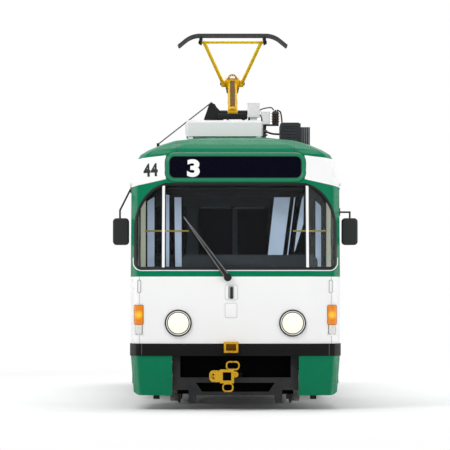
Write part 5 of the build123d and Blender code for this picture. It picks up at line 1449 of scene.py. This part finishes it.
for bogie, middle in bogieSetup["ys"].items():
    coils, covers, bolts, ribs = [bmesh.new() for _ in range(4)]
    for side in both:
        x, face, out = side * 0.980, side * bogieSetup["face"], (side, 0, 0)
        addPipe(coils, [(x + radius * cos(2 * pi * k / steps), middle + radius * sin(2 * pi * k / steps),
                         low + (high - low) * k / (turns * steps))
                        for k in range(int(turns * steps) + 1)], wire, 8)
        addTurned(covers, [(0.112, 0), (0.112, 0.012), (0.100, 0.016), (0.086, 0.016)], (x, middle, 0.4795),
                  (0, 0, 1), 36)
        for y in (middle - 0.95, middle + 0.95):
            addTurned(covers, [(0.088, 0), (0.090, 0.003), (0.090, 0.016), (0.080, 0.022), (0.050, 0.024),
                               (0.046, 0.030), (0, 0.031)], (face, y, axleZ), out, 40)
            for v, w in spotsRound(y, axleZ, 0.070, 6, pi / 6):
                addBolt(bolts, (face + side * 0.021, v, w), out, 0.009, 0.008)
            addBox(covers, (face, y - 0.105, axleZ + 0.100),
                   (face + side * 0.014, y + 0.105, axleZ + 0.128), 0.004)
        for y, z, r, h in sideBolts:
            addBolt(bolts, (face, middle + y, z), out, r, h)
        for y in (-0.36, -0.15, 0.15, 0.36):
            addTurned(ribs, [(0.020, 0), (0.020, 0.012), (0.012, 0.014), (0, 0.014)],
                      (side * 0.7545, middle + y, 0.092), out, 14)
        for k in range(9):
            addBlock(ribs, (side * 0.717, middle - 0.384 + k * 0.096, 0.042),
                     (0.034, 0.040, 0.0035), 0.003, 1)
        addCurve(ribs, [(side * x, middle + y, z) for x, y, z in brakePipe], 0.010, 8, 0.05)
    for end in both:
        for k in range(7):
            y = middle + end * (0.260 + k * 0.075)
            addBox(ribs, (-0.358, y - 0.008, 0.312), (0.358, y + 0.008, 0.5785), 0.003, 1)
        for x in (-0.27, -0.09, 0.09, 0.27):
            for z in (0.520, 0.350):
                addBolt(bolts, (x, middle + end * 0.800, z), (0, end, 0), 0.012, 0.010)
    for name, bm, mat in (("Springs", coils, "springBlack"), ("Covers", covers, "bogieSteel"),
                          ("Bolts", bolts, "galvanised"), ("Ribs", ribs, "bogieSteel")):
        piece(bogie + name, bm, mat, bogie)
for wheels, y in bogieSetup["axles"].items():
    turned(wheels + "Treads", "treadSteel", [(side * 0.750, y, axleZ) for side in both],
           [(0.3496, -0.046), (0.3508, -0.040), (0.3508, 0.056), (0.3496, 0.062)], None, 72, wheels)
    bm = bmesh.new()
    for x in (-0.815, 0.815):
        addTurned(bm, [(0.275, 0), (0.275, 0.004), (0.262, 0.006), (0.255, 0.000)], (x, y, axleZ),
                  (x, 0, 0), 56)
        for v, w in spotsRound(y, axleZ, 0.160, 8):
            addBolt(bm, (x, v, w), (x, 0, 0), 0.015, 0.016)
    piece(wheels + "Nuts", bm, "wheelSteel", wheels)
print("bogies made")

# underframe: pipes, clamps and bolts
underSetup = {"z": 0.800, "long": {-0.19: 0.017, -0.13: 0.017, 0.15: 0.024},   # pipe at x: radius
              "short": [(-1.72, -0.96), (-0.84, 0.84), (0.96, 1.72)], "bolts": 28, "clearOfBogie": 1.36}
bm, clamps = bmesh.new(), bmesh.new()
z = underSetup["z"]
for x, radius in underSetup["long"].items():
    addRod(bm, (x, -6.20, z), (x, 6.20, z), radius, 12)
for x in (-0.64, 0.64):
    for low, high in underSetup["short"]:
        addRod(bm, (x, low, z), (x, high, z), 0.020, 12)
        for y in (low + 0.1, high - 0.1):
            addBox(clamps, (x - 0.032, y - 0.014, 0.776), (x + 0.032, y + 0.014, 0.862), 0.004)
for side in both:
    for y in [-6.2 + i * 0.459 for i in range(underSetup["bolts"])]:
        if abs(abs(y) - 3.2) > underSetup["clearOfBogie"]:
            addBolt(clamps, (side * 1.145, y, 0.6405), (0, 0, -1), 0.012, 0.010)
piece("underPipes", bm, "frameSteel")
piece("underClamps", clamps, "galvanised")

# dark boards behind the lifeguards, darker pocket linings and black coupler mouths, all painted shade; mirror
# glass
lowerFront = {"shadeBoardY": (6.690, 6.712), "pocket": (-0.052, 0.742, 0.120, 0.079), "pocketY": (6.880, 6.910),
              "mouth": (-0.100, 0.404, 0.100, 0.098), "mouthY": (7.2155, 7.2195),
              "mirror": (1.3775, 1.990, 2.267)}
# these boards stand for the shade under the front: painted shade
boards = [   # x from, x to, z from, z to, inset in y, bevel, segments
    (-0.690, -0.20, 0.185, 0.640, 0, 0.004, 2), (0.08, 0.690, 0.185, 0.640, 0, 0.004, 2),
    (-0.205, 0.085, 0.185, 0.345, 0.002, 0.003, 2), (-0.205, 0.085, 0.515, 0.640, 0.002, 0.003, 2),
    (-0.36, 0.36, 0.181, 0.212, 0, 0.003, 1),
]


# a thin dark box filling a recess, as painted shade
def addShadeFill(bm, box, ys, end, bevel, segments):
    x, z, w, h = box
    w, h = w / 2 - 0.001, h / 2 - 0.001
    addBox(bm, (x - w, end * ys[0], z - h), (x + w, end * ys[1], z + h), bevel, segments)


bm, pocketShades = bmesh.new(), bmesh.new()
for end, name in ((-1, "front"), (1, "rear")):
    y0, y1 = lowerFront["shadeBoardY"]
    for x0, x1, z0, z1, inset, bevel, segments in boards:
        addBox(bm, (x0, end * (y0 + inset), z0), (x1, end * (y1 - inset), z1), bevel, segments)
    # a darker amber lining inside each tow pocket: painted shade
    addShadeFill(pocketShades, lowerFront["pocket"], lowerFront["pocketY"], end, 0.004, 2)
    # a black plate in the coupler mouth: painted shade of the hole
    mouth = bmesh.new()
    addShadeFill(mouth, lowerFront["mouth"], lowerFront["mouthY"], end, 0.0012, 1)
    piece(name + "CouplerMouthShade", mouth, "paintedShadeBlack", f"coupler_{name}_arm")
piece("guardShadeBoards", bm, "paintedShadeBlack")
piece("pocketShadeLinings", pocketShades, "pocketShadeAmber")
middle, z0, z1 = lowerFront["mirror"]
pads("mirrorPanes", "mirrorGlass", lambda x, z, lift: Vector((x, -6.282 + lift, z)),
     [(side * middle - 0.078, side * middle + 0.078, z0, z1) for side in both], 0.03,
     [(0, 0), (0, 0.003), (-0.004, 0.004)], 6, 0.2)

# wiper: arm cover and blade; the pale rods along the arm's edges are a painted highlight
wiper = {"start": (-0.091, 1.571), "tip": (-0.617, 2.295), "lift": (0.044, 0.053),
         "widths": [(0.03, 0.036), (0.30, 0.027), (0.62, 0.017), (0.86, 0.008)]}
start, tip = Vector(wiper["start"]), Vector(wiper["tip"])
run = tip - start
aside = Vector((run.y, -run.x)).normalized()


def onWiper(share, reach, lift):
    p = start + run * share + aside * reach
    return onFront(p.x, p.y, lift)


low, high = wiper["lift"]
arm = [(-1, low), (-0.7, high), (0.7, high), (1, low)]
bm = bmesh.new()
joinRings(bm, [[bm.verts.new(onWiper(share, half * s, lift)) for s, lift in arm]
               for share, half in wiper["widths"]],
          capped=True)
piece("wiperArmCover", bm, "blackPaint")
bm = bmesh.new()
# pale rods along both edges of the arm: painted highlight; the last rod is the blade
for hand in both:
    addPipe(bm, [onWiper(share, hand * half * 0.72, 0.0545) for share, half in wiper["widths"]], 0.0028, 6)
addPipe(bm, [onWiper(share, 0, 0.040) for share in (0.80, 0.90, 0.995)], 0.0045, 6)
piece("wiperHighlightRods", bm, "galvanised")
print("lower front made")

# roof: walkway boards, seam beads, vents
roofSetup = {
    "walkY": (-2.46, 4.98), "walkX": (-0.215, 0.0, 0.215), "boards": 5, "half": 0.095,
    "walkZ": (3.3015, 3.319),
    "beads": (-6.05, -5.62, -2.90, -1.45, 0.0, 1.45, 2.90, 4.35, 5.80), "beadsAbove": 2.8,
    "vents": [(side * 0.78, y) for side in both for y in (-2.15, 1.9, 5.95)],
}
y0, y1 = roofSetup["walkY"]
z0, z1 = roofSetup["walkZ"]
step, half = (y1 - y0) / roofSetup["boards"], roofSetup["half"]
bm = bmesh.new()
for x in roofSetup["walkX"]:
    for y in [y0 + i * step for i in range(roofSetup["boards"])]:
        addBox(bm, (x - half, y + 0.004, z0), (x + half, y + step - 0.004, z1), 0.004)
piece("walkwayBoards", bm, "floorRubber")
arch = [(1.252 - inset, z + 0.0015) for z, inset, _ in bodySections if z > roofSetup["beadsAbove"]]
arch += [(-x, z) for x, z in reversed(arch)]
bm = bmesh.new()
for y in roofSetup["beads"]:
    addPipe(bm, [(x, y, z) for x, z in arch], 0.0055, 8)
piece("roofBeads", bm, "bodyPaint")
cowl = [(0.040, 0), (0.040, 0.030), (0.085, 0.034), (0.090, 0.042), (0.080, 0.054), (0.045, 0.064),
        (0, 0.067)]
bm = bmesh.new()
for x, y in roofSetup["vents"]:
    lean = (0.11 if x > 0 else -0.11, 0, 1)
    addTurned(bm, [(0.060, 0), (0.060, 0.006), (0.052, 0.010)], (x, y, 3.2555), lean, 28)
    addTurned(bm, cowl, (x, y, 3.258), lean, 32)
piece("roofVents", bm, "greenPaint")

# pantograph: dark sleeves on the shaft, hood over the knee, guard and beam on the base
bm = bmesh.new()
for side in both:
    addTurned(bm, [(0.0282, 0), (0.0305, 0.002), (0.0305, 0.122), (0.0282, 0.124)],
              beside(pivot, side, 0.068),
              (side, 0, 0), 28)
    for k in range(4):
        addTurned(bm, [(0.0305, 0), (0.0335, 0.002), (0.0335, 0.008), (0.0305, 0.010)],
                  beside(pivot, side, 0.080 + k * 0.030), (side, 0, 0), 28)
piece("shaftSleeves", bm, "blackPaint", "pantograph_lower")
hood = {"half": 0.080, "rise": 0.118, "thick": 0.012, "deep": 0.032, "back": 0.012, "steps": 24}
deep, thick = hood["deep"], hood["thick"]


def overKnee(share, half, rise, y, up):
    return knee + Vector((half * cos(pi * share), y, up + rise * sin(pi * share)))


bm = bmesh.new()
joinRings(bm, [[bm.verts.new(overKnee(k / hood["steps"], hood["half"] - inset, hood["rise"] - inset,
                                      y, 0.010))
                for inset, y in ((thick, -deep), (0, -deep), (0, deep), (thick, deep))]
               for k in range(hood["steps"] + 1)], capped=True)
for v in bm.verts:
    v.co.y -= hood["back"]
piece("kneeHood", bm, "pantographYellow", "pantograph_lower")
# the hood's bolts take the dark brown shade copy of the yellow: painted shade
turned("kneeHoodBolts", "armShadeBrown",
       [overKnee(share / 8, 0.060, 0.088, -0.042, 0.018) for share in range(1, 8)],
       [(0.0085, 0), (0.0085, 0.010), (0.005, 0.013), (0, 0.013)], (0, -1, 0), 12, "pantograph_lower")
baseGear = {
    "guard": [(-0.400, 3.556), (-0.110, 3.556), (-0.134, 3.626), (-0.255, 3.846), (-0.325, 3.856),
              (-0.400, 3.640)],
    "guardY": -3.345, "guardThick": 0.012, "beam": (-0.215, 0.165, -3.470, -3.415, 3.640, 3.715),
}
bm = bmesh.new()
addSlab(bm, baseGear["guard"], baseGear["guardY"], baseGear["guardThick"])
bmesh.ops.bevel(bm, geom=list(bm.edges), offset=0.003, segments=2, affect="EDGES")
x0, x1, y0, y1, z0, z1 = baseGear["beam"]
addBox(bm, (x0, y0, z0), (x1, y1, z1), 0.010, 3)
for x in (x0 + 0.05, x1 - 0.05):
    addBox(bm, (x - 0.022, y0 + 0.010, 3.556), (x + 0.022, y1 - 0.010, z0 + 0.006), 0.004)
for k in range(6):
    addTurned(bm, [(0.010, 0), (0.010, 0.006), (0, 0.007)], (x0 + 0.04 + k * 0.06, y0, (z0 + z1) / 2),
              (0, -1, 0), 6)
piece("baseGuards", bm, "blackPaint")

# rear: numbers, lamp rims, hatch and grab handles
rearSetup = {"lamps": [(side * 0.930, z) for side in both for z in (0.980, 1.120, 1.260)],
             "number": (0.935, 2.858),
             "hatch": (-0.23, 0.23, 1.03, 1.37), "locks": [(-0.16, 1.34), (0.16, 1.34)],
             "handleX": (-0.62, 0.62),
             "handleZ": (0.90, 1.30), "reflectors": [(-0.98, -0.88, 0.835, 0.875),
                                                     (0.88, 0.98, 0.835, 0.875)]}
lettering("rearNumber", "44", lambda x, z, lift: onRear(-x, z, lift), rearSetup["number"], 0.150,
          "numeralBlack",
          width=0.76, bold=0.040)
turned("tailLampRims", "blackPaint", [onRear(x, z) for x, z in rearSetup["lamps"]],
       [(0.0625, -0.004), (0.0640, 0.012), (0.0690, 0.014), (0.0740, 0.010), (0.0760, -0.004)], (0, 1, 0), 40)
pads("rearHatch", "whitePaint", onRear, [rearSetup["hatch"]], 0.03,
     [(0.003, -0.001), (0.002, 0.003), (-0.002, 0.0045), (-0.014, 0.0045)], 5, 0.1)
low, high = rearSetup["handleZ"]
bm = bmesh.new()
for x, z in rearSetup["locks"]:
    addTurned(bm, [(0.014, 0), (0.014, 0.003), (0.009, 0.005), (0, 0.005)], onRear(x, z, 0.004),
              (0, 1, 0), 18)
for x in rearSetup["handleX"]:
    addCurve(bm, [onRear(x, z, out) for z, out in ((low, 0), (low, 0.05), (high, 0.05), (high, 0))],
             0.011, 10)
piece("rearHandles", bm, "galvanised")
pads("rearReflectors", "redLens", onRear, rearSetup["reflectors"], 0.010, reflector, 4, 0.2)
print("roof and rear made")
